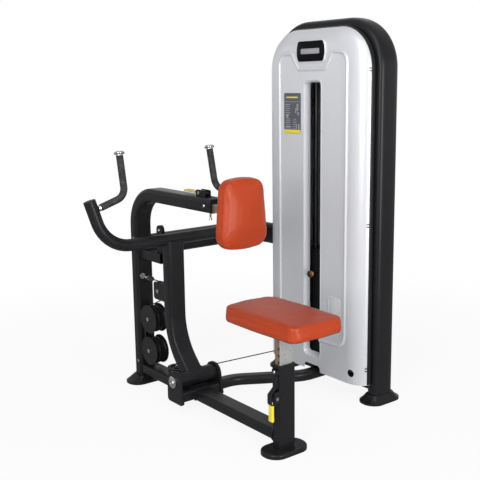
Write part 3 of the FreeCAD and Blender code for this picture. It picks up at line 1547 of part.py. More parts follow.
def seat_latch_grip():
    """Moulded grip on the seat latch's tang."""
    centre = V(post_side_x - seat_grip_stand_off, seat_latch_y, seat_grip_top_z - seat_grip_length)
    grip = extruded(rectangle(seat_grip_thickness, seat_grip_width, seat_grip_round, centre, X_AXIS, Y_AXIS),
                    V(0, 0, seat_grip_length))
    ends = [edge for edge in grip.Edges if edge.BoundBox.ZLength < shortest_edge]
    grip = grip.makeFillet(seat_grip_round / 2, ends)
    return grip.cut(nodes["seat_latch_lever"])


def pad_latch_lever():
    """Moulded lever on the arm: the pin at its front, the thumb tab at its back."""
    fulcrum_z = arm_top_z + pad_latch_fulcrum_rise
    half_width = latch_lever_width / 2
    half_thickness = latch_lever_thickness / 2
    bar = block((-half_width, half_width), (pad_latch_pin_y - half_width, pad_latch_tab_start_y),
                (fulcrum_z - half_thickness, fulcrum_z + half_thickness))
    eye = cylinder(latch_eye_radius, V(-half_width, pad_latch_fulcrum_y, fulcrum_z),
                   V(half_width, pad_latch_fulcrum_y, fulcrum_z))
    tab_centre = V(0, pad_latch_tab_start_y, fulcrum_z)
    tab = extruded(rectangle(pad_latch_tab_width, pad_latch_tab_thickness, half_thickness, tab_centre,
                             X_AXIS, Z_AXIS), V(0, pad_latch_tab_end_y - pad_latch_tab_start_y, 0))
    pin = cylinder(latch_pin_radius, V(0, pad_latch_pin_y, fulcrum_z),
                   V(0, pad_latch_pin_y, slide_top_z + index_bar_thickness + soft_gap))
    bore = cylinder(latch_bolt_radius + fit_gap, V(-latch_lever_width, pad_latch_fulcrum_y, fulcrum_z),
                    V(latch_lever_width, pad_latch_fulcrum_y, fulcrum_z))
    return bar.fuse([eye, tab, pin]).cut(bore)


def bolt_head(seat, axis):
    """Rounded bolt head standing on a surface."""
    rim = bolt_head_height - bolt_head_round
    profile = [(0, 0), (bolt_head_radius, 0), (bolt_head_radius, rim),
               (bolt_head_radius - bolt_head_round, bolt_head_height), (0, bolt_head_height)]
    return placed(turned(profile), seat, axis)


def latch_bolt(start, end):
    """Bolt through a latch with a head outside each cheek."""
    direction = unit(end - start)
    shank = cylinder(latch_bolt_radius, start, end)
    heads = [cylinder(latch_bolt_head_radius, end, end + direction * latch_bolt_head_height),
             cylinder(latch_bolt_head_radius, start, start - direction * latch_bolt_head_height)]
    return shank.fuse(heads)


def frame_bolts():
    """Plated bolts of the latches, the column and the arm, and the screw under the arm's end."""
    outer = latch_lever_width / 2 + bracket_gap + latch_cheek_thickness
    fulcrum_z = arm_top_z + pad_latch_fulcrum_rise
    bolt_y = column_front_y + column_bolt_inset
    hood_z = (seat_latch_hood_low_z + seat_latch_hood_high_z) / 2
    solids = [
        latch_bolt(V(seat_latch_fulcrum_x, seat_latch_y - outer, seat_latch_fulcrum_z),
                   V(seat_latch_fulcrum_x, seat_latch_y + outer, seat_latch_fulcrum_z)),
        bolt_head(V(post_side_x - seat_latch_hood_reach, seat_latch_y, hood_z), -X_AXIS),
        latch_bolt(V(-outer, pad_latch_fulcrum_y, fulcrum_z), V(outer, pad_latch_fulcrum_y, fulcrum_z)),
        bolt_head(V(-column_side_x, bolt_y, column_bolt_low_z), -X_AXIS),
        bolt_head(V(-column_side_x, bolt_y, column_bolt_high_z), -X_AXIS),
        bolt_head(V(-column_side_x, arm_bolt_y, arm_centre_z), -X_AXIS),
        bolt_head(V(-stop_lug_thickness / 2, stop_lug_centre_y, stop_lug_top_z - stop_lug_width / 2), -X_AXIS),
    ]
    knob_z = arm_bottom_z - clamp_screw_length
    screw = cylinder(clamp_screw_radius, V(0, clamp_screw_y, arm_bottom_z), V(0, clamp_screw_y, knob_z))
    knob = Part.makeCone(clamp_screw_radius, clamp_knob_radius, clamp_knob_length,
                         V(0, clamp_screw_y, knob_z + clamp_knob_length), -Z_AXIS)
    solids.append(screw.fuse(knob))
    return solids


# All sub-parts

keep("column_and_arm", column_and_arm())
keep("column_foot", bell_foot(0, column_y, frame_tube_width, frame_tube_depth, frame_tube_corner))
keep("seat_foot", seat_foot())
keep("tower_feet", *[bell_foot(tower_x, tower_y + side * tower_half_span, leg_width, leg_depth, leg_corner)
                     for side in (-1, 1)])
keep("front_base_beam", spine_beam(post_front_y, cross_box_front_y))
keep("rear_base_beam", spine_beam(cross_box_back_y, column_front_y))
keep("pivot_cross_box", cross_box())
keep("pivot_plates", *both_sides(pivot_plate()))
keep("pivot_shaft", pivot_shaft())
keep("seat_post", seat_post())
keep("seat_post_collar", seat_post_collar())
keep("lower_link_tube", lower_link())
keep("upper_link_tube", upper_link())
keep("stop_beam", stop_beam())
keep("lever_bumper", lever_bumper())
keep("tower_arch", tower_arch())
keep("tower_base_beam", tower_base_beam())
keep("tower_top_beam", tower_top_beam())
keep("front_shroud", front_shroud())
keep("rear_shroud", rear_shroud())
keep("guide_rods", *guide_rods())
keep("stack_buffers", *stack_buffers())
keep("resting_plates", *[weight_plate(stack_bottom_z + index * stack_pitch, stack_plate_height, True)
                         for index in range(resting_plate_count)])
keep("lifted_plates", *[weight_plate(lifted_bottom_z + index * stack_pitch, stack_plate_height, True)
                        for index in range(lifted_plate_count)])
keep("top_plate", top_plate())
keep("selector_pin", selector_pin())
keep("selector_knob", selector_knob())
keep("lever_cable", lever_cable())
keep("main_cable", main_cable())
keep("stack_cable", stack_cable())
keep("cable_anchor", cable_anchor())
keep("pulley_brackets", *column_pulley_guards(), *pulley_brackets())
keep("pulley_axles", *pulley_axles())
keep("column_pulley_low", pulley(column_pulley_groove, column_pulley_rim, column_pulley_width,
                                 V(cable_x, column_pulley_y, column_pulley_low_z), X_AXIS))
keep("column_pulley_high", pulley(column_pulley_groove, column_pulley_rim, column_pulley_width,
                                  V(cable_x, column_pulley_y, column_pulley_high_z), X_AXIS))
keep("floor_pulley", pulley(floor_pulley_groove, floor_pulley_rim, pulley_width,
                            V(floor_pulley_x, floor_pulley_y, cable_low_z), Z_AXIS))
keep("tower_pulley", pulley(tower_pulley_groove, tower_pulley_rim, pulley_width,
                            tower_pulley_centre(), Z_AXIS.cross(low_run_direction())))
keep("top_pulley_rear", pulley(tower_pulley_groove, tower_pulley_rim, pulley_width,
                               V(stack_x, riser_y - tower_wrap, top_pulley_z), X_AXIS))
keep("top_pulley_front", pulley(tower_pulley_groove, tower_pulley_rim, pulley_width,
                                V(stack_x, tower_y + tower_wrap, top_pulley_z), X_AXIS))
keep("lever_sleeve", lever_sleeve())
keep("lever_tube", lever_tube())
keep("crossbar", crossbar())
keep("crossbar_caps", *crossbar_caps())
keep("handle_grips", *handle_grips())
keep("lever_fittings", *handle_ends(), block_axle())
keep("block_plates", block_plates())
keep("block_wheel", pulley(block_wheel_groove, block_wheel_rim, block_wheel_width,
                           V(cable_x, block_y, block_z), X_AXIS))
keep("seat_stem", seat_stem())
keep("seat_plate", seat_plate())
keep("seat_pad", seat_pad())
keep("chest_slide", chest_slide())
keep("chest_index_bar", chest_index_bar())
keep("chest_plate", chest_plate())
keep("chest_pad", chest_pad())
keep("arm_end_bush", arm_end_bush())
keep("latch_brackets", *latch_brackets())
keep("seat_latch_lever", seat_latch_lever())
keep("seat_latch_grip", seat_latch_grip())
keep("pad_latch_lever", pad_latch_lever())
keep("frame_bolts", *frame_bolts())


# Origin and files

def extents(shapes):
    """Lowest and highest corner of a list of shapes, measured on their meshes."""
    points = []
    for shape in shapes:
        points += shape.tessellate(mesh_deflection)[0]
    low = V(min(p.x for p in points), min(p.y for p in points), min(p.z for p in points))
    high = V(max(p.x for p in points), max(p.y for p in points), max(p.z for p in points))
    return low, high


low_corner, high_corner = extents(nodes.values())
origin_shift = V(-(low_corner.x + high_corner.x) / 2, -(low_corner.y + high_corner.y) / 2, -low_corner.z)
for node_name, shape in nodes.items():
    shape.translate(origin_shift)
    shape.exportStep(f"parts/{node_name}.step")
print("nodes", len(nodes), "size", high_corner - low_corner, "shift", origin_shift)
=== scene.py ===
"""Looks of a plate-stack seated row machine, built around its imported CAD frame."""
from __future__ import annotations

import json
import logging
import math
from collections.abc import Callable, Iterable, Sequence
from dataclasses import dataclass, field, replace
from enum import Enum

import bmesh
import bpy
from mathutils import Matrix, Vector

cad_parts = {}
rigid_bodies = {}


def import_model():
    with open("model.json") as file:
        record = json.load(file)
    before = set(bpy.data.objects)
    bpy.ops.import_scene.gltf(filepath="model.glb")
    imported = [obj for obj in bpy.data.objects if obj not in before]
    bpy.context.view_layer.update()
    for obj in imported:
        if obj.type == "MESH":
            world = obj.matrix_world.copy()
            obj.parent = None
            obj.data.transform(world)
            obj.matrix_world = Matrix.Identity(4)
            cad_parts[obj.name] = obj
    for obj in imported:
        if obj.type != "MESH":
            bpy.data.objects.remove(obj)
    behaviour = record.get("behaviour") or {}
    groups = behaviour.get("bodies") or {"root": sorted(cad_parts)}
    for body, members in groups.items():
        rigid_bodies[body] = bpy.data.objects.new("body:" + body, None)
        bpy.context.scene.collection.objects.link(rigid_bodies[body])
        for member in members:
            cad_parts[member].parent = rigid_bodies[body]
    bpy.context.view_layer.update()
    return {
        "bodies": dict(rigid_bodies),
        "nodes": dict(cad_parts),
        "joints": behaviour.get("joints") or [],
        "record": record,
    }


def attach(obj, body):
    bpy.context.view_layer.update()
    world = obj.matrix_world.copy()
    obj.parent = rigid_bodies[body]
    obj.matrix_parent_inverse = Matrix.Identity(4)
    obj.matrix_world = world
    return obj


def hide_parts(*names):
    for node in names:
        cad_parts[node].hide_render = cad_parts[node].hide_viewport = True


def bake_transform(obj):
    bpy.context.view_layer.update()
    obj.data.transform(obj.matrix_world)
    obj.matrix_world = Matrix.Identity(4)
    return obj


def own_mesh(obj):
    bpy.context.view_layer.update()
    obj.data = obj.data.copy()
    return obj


LOG = logging.getLogger("seated_row")
MILLIMETRE = 0.001
CREASE = math.radians(38)       # edges that turn more than this stay crisp
WHITE = (1.0, 1.0, 1.0, 1.0)
ORIGIN_X = -175.1435            # the drawing's seat post, seen from the row frame, in millimetres
ORIGIN_Y = -431.0
PIVOT_Y, PIVOT_Z = 597.0, 128.0     # the lever's pivot, in the drawing's millimetres
LEAN = math.radians(44.0)           # of the lever's lower part, from upright
X_AXIS = Vector((1, 0, 0))
Y_AXIS = Vector((0, 1, 0))
Z_AXIS = Vector((0, 0, 1))

Colour = tuple[float, float, float]
Point = tuple[float, float, float]
Flat = tuple[float, float]


def at(x: float, y: float, z: float) -> Vector:
    """Point of the row frame, in metres.

    Args:
        x, y, z: millimetres from the seat post's centre line on the floor.

    Returns:
        The same point in the row frame.
    """
    return Vector((x + ORIGIN_X, y + ORIGIN_Y, z)) * MILLIMETRE


# Shader expressions

@dataclass(frozen=True, eq=False)
class Signal:
    """A shader socket that takes part in expressions."""

    graph: Graph
    socket: bpy.types.NodeSocket

    def _math(self, operation: str, *operands: Signal | float) -> Signal:
        """Math node on these operands."""
        return self.graph.node("ShaderNodeMath", {"operation": operation}, dict(enumerate(operands)))

    def __add__(self, other: Signal | float) -> Signal:
        """Sum."""
        return self._math("ADD", self, other)

    def __sub__(self, other: Signal | float) -> Signal:
        """Difference."""
        return self._math("SUBTRACT", self, other)

    def __rsub__(self, other: float) -> Signal:
        """Difference from a number."""
        return self._math("SUBTRACT", other, self)

    def __mul__(self, other: Signal | float) -> Signal:
        """Product."""
        return self._math("MULTIPLY", self, other)

    def at_most(self, limit: Signal | float) -> Signal:
        """The smaller of this and a limit."""
        return self._math("MINIMUM", self, limit)

    def at_least(self, limit: Signal | float) -> Signal:
        """The larger of this and a limit."""
        return self._math("MAXIMUM", self, limit)

    def along(self, axis: str) -> Signal:
        """Part of this vector along the X, Y or Z axis."""
        return self.graph.node("ShaderNodeSeparateXYZ", None, {0: self}, axis)

    def ramp(self, low: float, high: float) -> Signal:
        """Smooth step.

        Args:
            low: value below which the result is 0.
            high: value above which the result is 1.

        Returns:
            The stepped signal.
        """
        return self.graph.node(
            "ShaderNodeMapRange", {"interpolation_type": "SMOOTHSTEP", "clamp": True},
            {"Value": self, "From Min": low, "From Max": high})


class Graph:
    """Node tree of a material or a world."""

    def __init__(self, owner: bpy.types.Material | bpy.types.World) -> None:
        """Empties the tree.

        Args:
            owner: the material or world.
        """
        owner.use_nodes = True
        self.owner = owner
        self.tree = owner.node_tree
        self.tree.nodes.clear()

    def node(self, kind: str, settings: dict[str, object] | None = None,
             sockets: dict[str | int, object] | None = None, output: str | int = 0) -> Signal:
        """Adds a node.

        Args:
            kind: Blender's type of the node.
            settings: the node's own settings, set before its sockets.
            sockets: value or signal for each input.
            output: the output that is returned.

        Returns:
            The node's output as a signal.
        """
        added = self.tree.nodes.new(kind)
        for setting, value in (settings or {}).items():
            setattr(added, setting, value)
        for key, value in (sockets or {}).items():
            if isinstance(value, Signal):
                self.tree.links.new(value.socket, added.inputs[key])
            else:
                added.inputs[key].default_value = value
        return Signal(self, added.outputs[output])

    def place(self) -> Signal:
        """Position on the piece, in metres."""
        return self.node("ShaderNodeTexCoord", output="Object")

    def facing(self) -> Signal:
        """Direction that the surface faces."""
        return self.node("ShaderNodeNewGeometry", output="Normal")

    def ray(self, kind: str) -> Signal:
        """1 for rays of one kind, such as Is Camera Ray, and 0 for others."""
        return self.node("ShaderNodeLightPath", output=kind)

    def stretched(self, place: Signal, factors: Point) -> Signal:
        """Position with each axis multiplied by its own factor."""
        return self.node("ShaderNodeVectorMath", {"operation": "MULTIPLY"}, {0: place, 1: factors})

    def noise(self, place: Signal, size: float, detail: float, roughness: float = 0.55) -> Signal:
        """Noise whose patches have about this size in metres."""
        return self.node("ShaderNodeTexNoise", None,
                         {"Vector": place, "Scale": 1 / size, "Detail": detail, "Roughness": roughness})

    def cells(self, place: Signal, size: float, feature: str = "F1", output: str = "Distance") -> Signal:
        """Voronoi cells of about this size in metres."""
        return self.node("ShaderNodeTexVoronoi", {"feature": feature},
                         {"Vector": place, "Scale": 1 / size}, output)

    def blend(self, share: Signal, first: Signal | Colour, second: Signal | Colour) -> Signal:
        """Colour between two colours."""
        colours = [c if isinstance(c, Signal) else (*c, 1.0) for c in (first, second)]
        return self.node("ShaderNodeMix", {"data_type": "RGBA"},
                         {0: share, 6: colours[0], 7: colours[1]}, 2)

    def bump(self, height: Signal, depth: float) -> Signal:
        """Normal of a relief that is depth metres deep."""
        return self.node("ShaderNodeBump", None, {"Height": height, "Distance": depth, "Strength": 1.0})

    def glow(self, kind: str, strength: float) -> Signal:
        """White light of this strength, from a surface or a background."""
        return self.node(kind, None, {"Color": WHITE, "Strength": strength})

    def mixed(self, share: Signal, first: Signal, second: Signal) -> Signal:
        """Shader between two shaders."""
        return self.node("ShaderNodeMixShader", None, {0: share, 1: first, 2: second})

    def end(self, shader: Signal) -> None:
        """Connects a shader to the tree's output."""
        kind = "World" if isinstance(self.owner, bpy.types.World) else "Material"
        last = self.tree.nodes.new(f"ShaderNodeOutput{kind}")
        self.tree.links.new(shader.socket, last.inputs["Surface"])


class Grain(Enum):
    """Small relief of a surface."""

    PEEL = "orange peel of powder coat"
    FLAKE = "metal flakes in paint"
    LEATHER = "pebbled upholstery vinyl"
    MOULD = "fine texture of a mould"
    BRUSHED = "lines from drawing or grinding"
    SPECKLE = "pale specks in foam rubber"


@dataclass(frozen=True)
class Finish:
    """Colour, gloss and grain of a material, with sizes in metres."""

    colour: Colour
    patch: Colour
    patch_size: float
    roughness: float
    roughness_spread: float
    grain: Grain
    grain_size: float
    grain_depth: float
    metallic: float = 0.0
    coat: float = 0.0
    coat_roughness: float = 0.2
    specular: float = 0.5
    dust: float = 0.0
    dust_colour: Colour = (0.32, 0.31, 0.30)
    # painted reflection: colour given to faces turned to the left
    painted_left_reflection: Colour | None = None
    tip: Colour | None = None
    tip_axis: str = "X"
    tip_start: float = 0.0

    def relief(self, graph: Graph, place: Signal) -> tuple[Signal, Signal]:
        """Height of the grain, and the share of its own colour in it.

        Args:
            graph: the material's graph.
            place: position on the piece.

        Returns:
            Height from 0 to 1, and a share from 0 to 1 for colour.
        """
        fine = graph.noise(place, self.grain_size, 2.0)
        if self.grain is Grain.LEATHER:
            edge = graph.cells(place, self.grain_size, "DISTANCE_TO_EDGE")
            pebble = (edge * 4.0).at_most(1.0)
            crease = graph.noise(place, self.grain_size * 9, 4.0)
            return pebble * 0.6 + fine * 0.25 + crease * 0.5, 1 - pebble
        if self.grain is Grain.BRUSHED:
            lines = graph.noise(graph.stretched(place, (1.0, 1.0, 0.03)), self.grain_size, 2.0)
            return lines, lines.ramp(0.45, 0.8)
        if self.grain is Grain.SPECKLE:
            specks = graph.cells(place, self.grain_size)
            return fine, 1 - specks.ramp(0.12, 0.3)
        if self.grain is Grain.FLAKE:
            flake = graph.cells(place, self.grain_size, output="Color")
            return fine, flake * 1.0
        return fine, fine.ramp(0.35, 0.75)

    def material(self, name: str) -> bpy.types.Material:
        """Builds the node material.

        Args:
            name: name of the material.

        Returns:
            The material.
        """
        graph = Graph(bpy.data.materials.new(name))
        place = graph.place()
        patches = graph.noise(place, self.patch_size, 4.0)
        height, own = self.relief(graph, place)
        mixed = graph.blend(patches.ramp(0.3, 0.75) * 0.7 + own * 0.3, self.colour, self.patch)
        if self.dust:
            upward = graph.facing().along("Z").ramp(0.4, 1.0)
            drift = graph.noise(place, 0.045, 5.0, 0.65).ramp(0.35, 0.8)
            mixed = graph.blend(upward * drift * self.dust, mixed, self.dust_colour)
        # painted reflection: faces turned to the left take a warm brown that stands in for the orange seat
        # mirrored in the metal
        if self.painted_left_reflection:
            leftward = graph.facing().along("X") * -1.0
            mixed = graph.blend(leftward.ramp(0.75, 0.97), mixed, self.painted_left_reflection)
        if self.tip:
            reached = place.along(self.tip_axis).ramp(self.tip_start, self.tip_start + MILLIMETRE)
            mixed = graph.blend(reached, mixed, self.tip)
        smears = graph.noise(place, self.patch_size * 0.4, 3.0)
        roughness = (smears - 0.5) * self.roughness_spread + self.roughness
        sockets = {"Base Color": mixed, "Roughness": roughness, "Metallic": self.metallic,
                   "Coat Weight": self.coat, "Coat Roughness": self.coat_roughness,
                   "Specular IOR Level": self.specular, "Normal": graph.bump(height, self.grain_depth)}
        graph.end(graph.node("ShaderNodeBsdfPrincipled", None, sockets))
        return graph.owner


PLASTIC = Finish((0.012, 0.012, 0.013), (0.018, 0.018, 0.020), 0.04, 0.46, 0.10, Grain.MOULD, 0.0009, 0.00004,
                 specular=0.14, dust=0.02)
FINISHES: dict[str, Finish] = {
    "frame_black": Finish((0.0095, 0.0098, 0.0112), (0.014, 0.0143, 0.0160), 0.16, 0.32, 0.10, Grain.PEEL,
                          0.0026, 0.00006, specular=0.24, dust=0.02),
    "shroud_silver": Finish((0.660, 0.672, 0.705), (0.690, 0.702, 0.735), 0.30, 0.34, 0.05, Grain.FLAKE,
                            0.0012, 0.00002, metallic=0.2, coat=0.22),
    "pad_orange": Finish((0.425, 0.046, 0.008), (0.392, 0.041, 0.007), 0.11, 0.33, 0.08, Grain.LEATHER,
                         0.0016, 0.00011, specular=0.32),
    "chrome": Finish((0.56, 0.56, 0.55), (0.50, 0.50, 0.49), 0.05, 0.16, 0.08, Grain.MOULD, 0.004, 0.00001,
                     metallic=1.0),
    # the plated stem and slide carry a painted warm reflection of the seat on their left faces
    "stem_plated": Finish((0.56, 0.56, 0.545), (0.545, 0.545, 0.53), 0.05, 0.28, 0.04, Grain.BRUSHED, 0.0030,
                          0.000002, metallic=0.55, painted_left_reflection=(0.33, 0.235, 0.165)),
    "rubber_black": Finish((0.018, 0.018, 0.019), (0.070, 0.070, 0.074), 0.02, 0.72, 0.10, Grain.SPECKLE,
                           0.0011, 0.00015, specular=0.3),
    "plastic_black": PLASTIC,
    "plastic_yellow": Finish((0.800, 0.660, 0.070), (0.740, 0.600, 0.060), 0.04, 0.38, 0.08, Grain.MOULD,
                             0.0012, 0.00003, specular=0.25),
    "plastic_orange": Finish((0.620, 0.150, 0.020), (0.560, 0.130, 0.018), 0.03, 0.30, 0.08, Grain.MOULD,
                             0.0010, 0.00003),
    "pulley_black": Finish((0.007, 0.007, 0.007), (0.011, 0.011, 0.011), 0.03, 0.36, 0.10, Grain.MOULD,
                           0.0012, 0.00004, specular=0.13),
    "stack_black": Finish((0.012, 0.012, 0.013), (0.018, 0.018, 0.019), 0.08, 0.50, 0.12, Grain.PEEL,
                          0.0020, 0.00006, specular=0.14, dust=0.02),
    "rod_steel": Finish((0.13, 0.13, 0.132), (0.10, 0.10, 0.102), 0.06, 0.30, 0.08, Grain.BRUSHED, 0.0012,
                        0.00001, metallic=1.0),
    "cable_black": Finish((0.030, 0.030, 0.031), (0.046, 0.046, 0.047), 0.01, 0.40, 0.08, Grain.MOULD,
                          0.0015, 0.00006),
    "latch_two_tone": replace(PLASTIC, roughness=0.44, specular=0.3, dust=0.0, tip=(0.700, 0.530, 0.140),
                              tip_axis="Y", tip_start=(534.0 + ORIGIN_Y) * MILLIMETRE),
    "knob_two_tone": replace(PLASTIC, patch_size=0.03, roughness=0.34, roughness_spread=0.08,
                             grain_size=0.0010, grain_depth=0.00003, specular=0.5, dust=0.0,
                             tip=(0.560, 0.200, 0.040), tip_start=(524.5 + ORIGIN_X) * MILLIMETRE),
    "placard_grey": Finish((0.085, 0.090, 0.110), (0.095, 0.100, 0.120), 0.05, 0.42, 0.05, Grain.MOULD,
                           0.0012, 0.00002),
    "placard_pale": Finish((0.330, 0.335, 0.360), (0.290, 0.295, 0.320), 0.01, 0.45, 0.05, Grain.MOULD,
                           0.0012, 0.00002),
    "plate_gloss": Finish((0.004, 0.004, 0.005), (0.006, 0.006, 0.007), 0.05, 0.26, 0.05, Grain.MOULD,
                          0.0012, 0.00001, specular=0.08),
    "plate_pale": Finish((0.72, 0.72, 0.74), (0.66, 0.66, 0.68), 0.05, 0.34, 0.05, Grain.MOULD,
                         0.0012, 0.00001),
}
NODE_FINISHES = {"pad_latch_lever": "latch_two_tone", "selector_knob": "knob_two_tone",
                 "seat_stem": "stem_plated", "chest_slide": "stem_plated"}


@dataclass
class Wardrobe:
    """All finishes as materials, made when first asked for."""

    made: dict[str, bpy.types.Material] = field(default_factory=dict)

    def get(self, slot: str) -> bpy.types.Material:
        """Material of one of the record's slots."""
        if slot not in self.made:
            self.made[slot] = FINISHES[slot].material(slot)
        return self.made[slot]

    def dress(self, piece: bpy.types.Object, slot: str) -> None:
        """Gives a piece one material and no other."""
        piece.data.materials.clear()
        piece.data.materials.append(self.get(slot))

    def add(self, piece: bpy.types.Object, body: str | None, slot: str, finish: str = "") -> bpy.types.Object:
        """Dresses a new piece, lets it ride on a body and reports it.

        Args:
            piece: the piece, in place.
            body: CAD body that carries it, or None for a piece that rides on no body.
            slot: the record's material slot.
            finish: finish that it wears, where that isn't the slot's own.

        Returns:
            The piece.
        """
        self.dress(piece, finish or slot)
        if body:
            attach(piece, body)
        LOG.info("piece %s on %s", piece.name, body)
        return piece


# Mesh making

def shown(name: str, shell: bmesh.types.BMesh) -> bpy.types.Object:
    """Smooth object with crisp edges from a mesh that is used up, linked to the scene."""
    mesh = bpy.data.meshes.new(name)
    shell.to_mesh(mesh)
    shell.free()
    mesh.shade_smooth()
    mesh.set_sharp_from_angle(angle=CREASE)
    piece = bpy.data.objects.new(name, mesh)
    bpy.context.scene.collection.objects.link(piece)
    return piece


def mesh_piece(name: str, points: Sequence[Vector], faces: Sequence[Sequence[int]]) -> bpy.types.Object:
    """Object from points and faces, with outward normals and smooth shading.

    Args:
        name: name of the object.
        points: vertices in the row frame.
        faces: vertex indices of each face.

    Returns:
        The object, linked to the scene.
    """
    shell = bmesh.new()
    corners = [shell.verts.new(p) for p in points]
    for face in faces:
        shell.faces.new([corners[i] for i in face])
    bmesh.ops.remove_doubles(shell, verts=shell.verts, dist=1e-6)
    bmesh.ops.recalc_face_normals(shell, faces=shell.faces)
    return shown(name, shell)


def joined(name: str, pieces: Sequence[bpy.types.Object]) -> bpy.types.Object:
    """One object from several meshes.

    Args:
        name: name of the result.
        pieces: the objects, which are used up.

    Returns:
        The joined object.
    """
    shell = bmesh.new()
    for piece in pieces:
        shell.from_mesh(piece.data)
        bpy.data.objects.remove(piece)
    return shown(name, shell)


def frame_of(axis: Vector) -> tuple[Vector, Vector]:
    """Two directions across an axis."""
    helper = Z_AXIS if abs(axis.z) < 0.9 else X_AXIS
    across = axis.cross(helper).normalized()
    return across, axis.cross(across).normalized()


def skinned(name: str, rings: Sequence[Sequence[Vector]], closed: bool = False) -> bpy.types.Object:
    """Skin over rings of equal point counts.

    Args:
        name: name of the object.
        rings: loops of points in order, in the row frame.
        closed: whether the last ring joins the first, instead of a face at each end.

    Returns:
        The object.
    """
    if closed:
        rings = [*rings, rings[0]]
    count = len(rings[0])
    points = [p for ring in rings for p in ring]
    faces = [(start + i, start + (i + 1) % count, start + count + (i + 1) % count, start + count + i)
             for start in range(0, len(points) - count, count) for i in range(count)]
    if not closed:
        faces += [tuple(range(count)), tuple(range(len(points) - count, len(points)))]
    return mesh_piece(name, points, faces)


def directions(line: Sequence[Vector], closed: bool) -> list[Vector]:
    """Direction of a line at each of its points.

    Args:
        line: its points.
        closed: whether the last point joins the first.

    Returns:
        Unit vectors.
    """
    before = [line[-1] if closed else line[0], *line[:-1]]
    after = [*line[1:], line[0] if closed else line[-1]]
    return [(b - a).normalized() for a, b in zip(before, after)]


def turned(name: str, origin: Vector, axis: Vector, profile: Sequence[Flat],
           sides: int = 40) -> bpy.types.Object:
    """Turned piece.

    Args:
        name: name of the object.
        origin: point on the axis from which heights are measured.
        axis: the piece's axis.
        profile: radius and height pairs in millimetres, from one end to the other.
        sides: points round the axis.

    Returns:
        The object.
    """
    across, other = frame_of(axis)
    turns = [2 * math.pi * i / sides for i in range(sides)]
    rings = [[origin + ((across * math.cos(turn) + other * math.sin(turn)) * radius + axis * height)
              * MILLIMETRE for turn in turns] for radius, height in profile]
    return skinned(name, rings)


def rounded_outline(corners: Sequence[Flat], radii: Sequence[float], step: float) -> list[Flat]:
    """Closed outline with rounded corners and evenly spread points.

    Args:
        corners: corner points in order.
        radii: radius at each corner.
        step: greatest distance between neighbouring points.

    Returns:
        Points along the outline.
    """
    points: list[Vector] = []
    count = len(corners)
    for i, radius in enumerate(radii):
        corner = Vector(corners[i])
        before = (Vector(corners[i - 1]) - corner).normalized()
        after = (Vector(corners[(i + 1) % count]) - corner).normalized()
        half = before.angle(after) / 2
        reach = radius / math.tan(half)
        centre = corner + (before + after).normalized() * (radius / math.sin(half))
        start, end = corner + before * reach - centre, corner + after * reach - centre
        sweep = start.angle_signed(end)
        pieces = max(3, math.ceil(abs(sweep) * radius / step))
        for k in range(pieces + 1):
            turn = Matrix.Rotation(-sweep * k / pieces, 2)
            points.append(centre + turn @ start)
    spread: list[Flat] = []
    for first, second in zip(points, points[1:] + points[:1]):
        parts = max(1, math.ceil((second - first).length / step))
        spread += [tuple(first.lerp(second, k / parts)) for k in range(parts)]
    return spread


def inset_outline(outline: Sequence[Flat], distance: float) -> list[Vector]:
    """Closed outline moved inwards by an even distance."""
    points = [Vector(p) for p in outline]
    turning = sum(a.cross(b) for a, b in zip(points, points[1:] + points[:1]))
    side = math.copysign(distance, turning)
    moved = []
    for i, point in enumerate(points):
        along = (points[(i + 1) % len(points)] - points[i - 1]).normalized()
        moved.append(point + Vector((-along.y, along.x)) * side)
    return moved


def swept(name: str, path: Sequence[Vector], radii: Sequence[float], sides: int = 16,
          closed: bool = False) -> bpy.types.Object:
    """Round bar along a path.

    Args:
        name: name of the object.
        path: points in the row frame.
        radii: radius in millimetres at each point.
        sides: points round the bar.
        closed: whether the last point joins the first.

    Returns:
        The object.
    """
    turns = [2 * math.pi * k / sides for k in range(sides)]
    rings = []
    across = None
    for point, radius, along in zip(path, radii, directions(path, closed)):
        across = frame_of(along)[0] if across is None else (across - along * across.dot(along)).normalized()
        other = along.cross(across)
        rings.append([point + (across * math.cos(turn) + other * math.sin(turn)) * radius * MILLIMETRE
                      for turn in turns])
    return skinned(name, rings, closed)


def bent_line(corners: Sequence[Vector], radii: Sequence[float], step: float = 7.0) -> list[Vector]:
    """Line through corner points whose inner corners are rounded.

    Args:
        corners: corner points in millimetres.
        radii: radius at each inner corner.
        step: greatest distance between neighbouring points of an arc.

    Returns:
        Points along the line.
    """
    line = [corners[0]]
    for i, radius in enumerate(radii, 1):
        before = (corners[i - 1] - corners[i]).normalized()
        after = (corners[i + 1] - corners[i]).normalized()
        half = before.angle(after) / 2
        centre = corners[i] + (before + after).normalized() * (radius / math.sin(half))
        start = corners[i] + before * (radius / math.tan(half)) - centre
        end = corners[i] + after * (radius / math.tan(half)) - centre
        pieces = max(4, math.ceil(start.angle(end) * radius / step))
        line += [centre + start.normalized().slerp(end.normalized(), k / pieces) * radius
                 for k in range(pieces + 1)]
    return [*line, corners[-1]]


def moulding(name: str, line: Sequence[Vector], section: Sequence[Flat], facing: Vector,
             closed: bool = False) -> bpy.types.Object:
    """Solid with one section along a line.

    Args:
        name: name of the object.
        line: points in millimetres.
        section: closed section: distance to the line's right and height along facing.
        facing: direction that stays square to the line.
        closed: whether the last point joins the first.

    Returns:
        The object.
    """
    rings = []
    for point, along in zip(line, directions(line, closed)):
        right = along.cross(facing)
        rings.append([at(*(point + right * u + facing * v)) for u, v in section])
    return skinned(name, rings, closed)


def rounded_rectangle(low: Flat, high: Flat, corner: float, parts: int = 6) -> list[Flat]:
    """Rounded rectangle between two corners, with the same number of points whatever its size."""
    points = []
    for i, (u, v) in enumerate(((high[0], high[1]), (low[0], high[1]), (low[0], low[1]), (high[0], low[1]))):
        centre_u = u - corner if u == high[0] else u + corner
        centre_v = v - corner if v == high[1] else v + corner
        for k in range(parts + 1):
            turn = math.pi / 2 * (i + k / parts)
            points.append((centre_u + corner * math.cos(turn), centre_v + corner * math.sin(turn)))
    return points


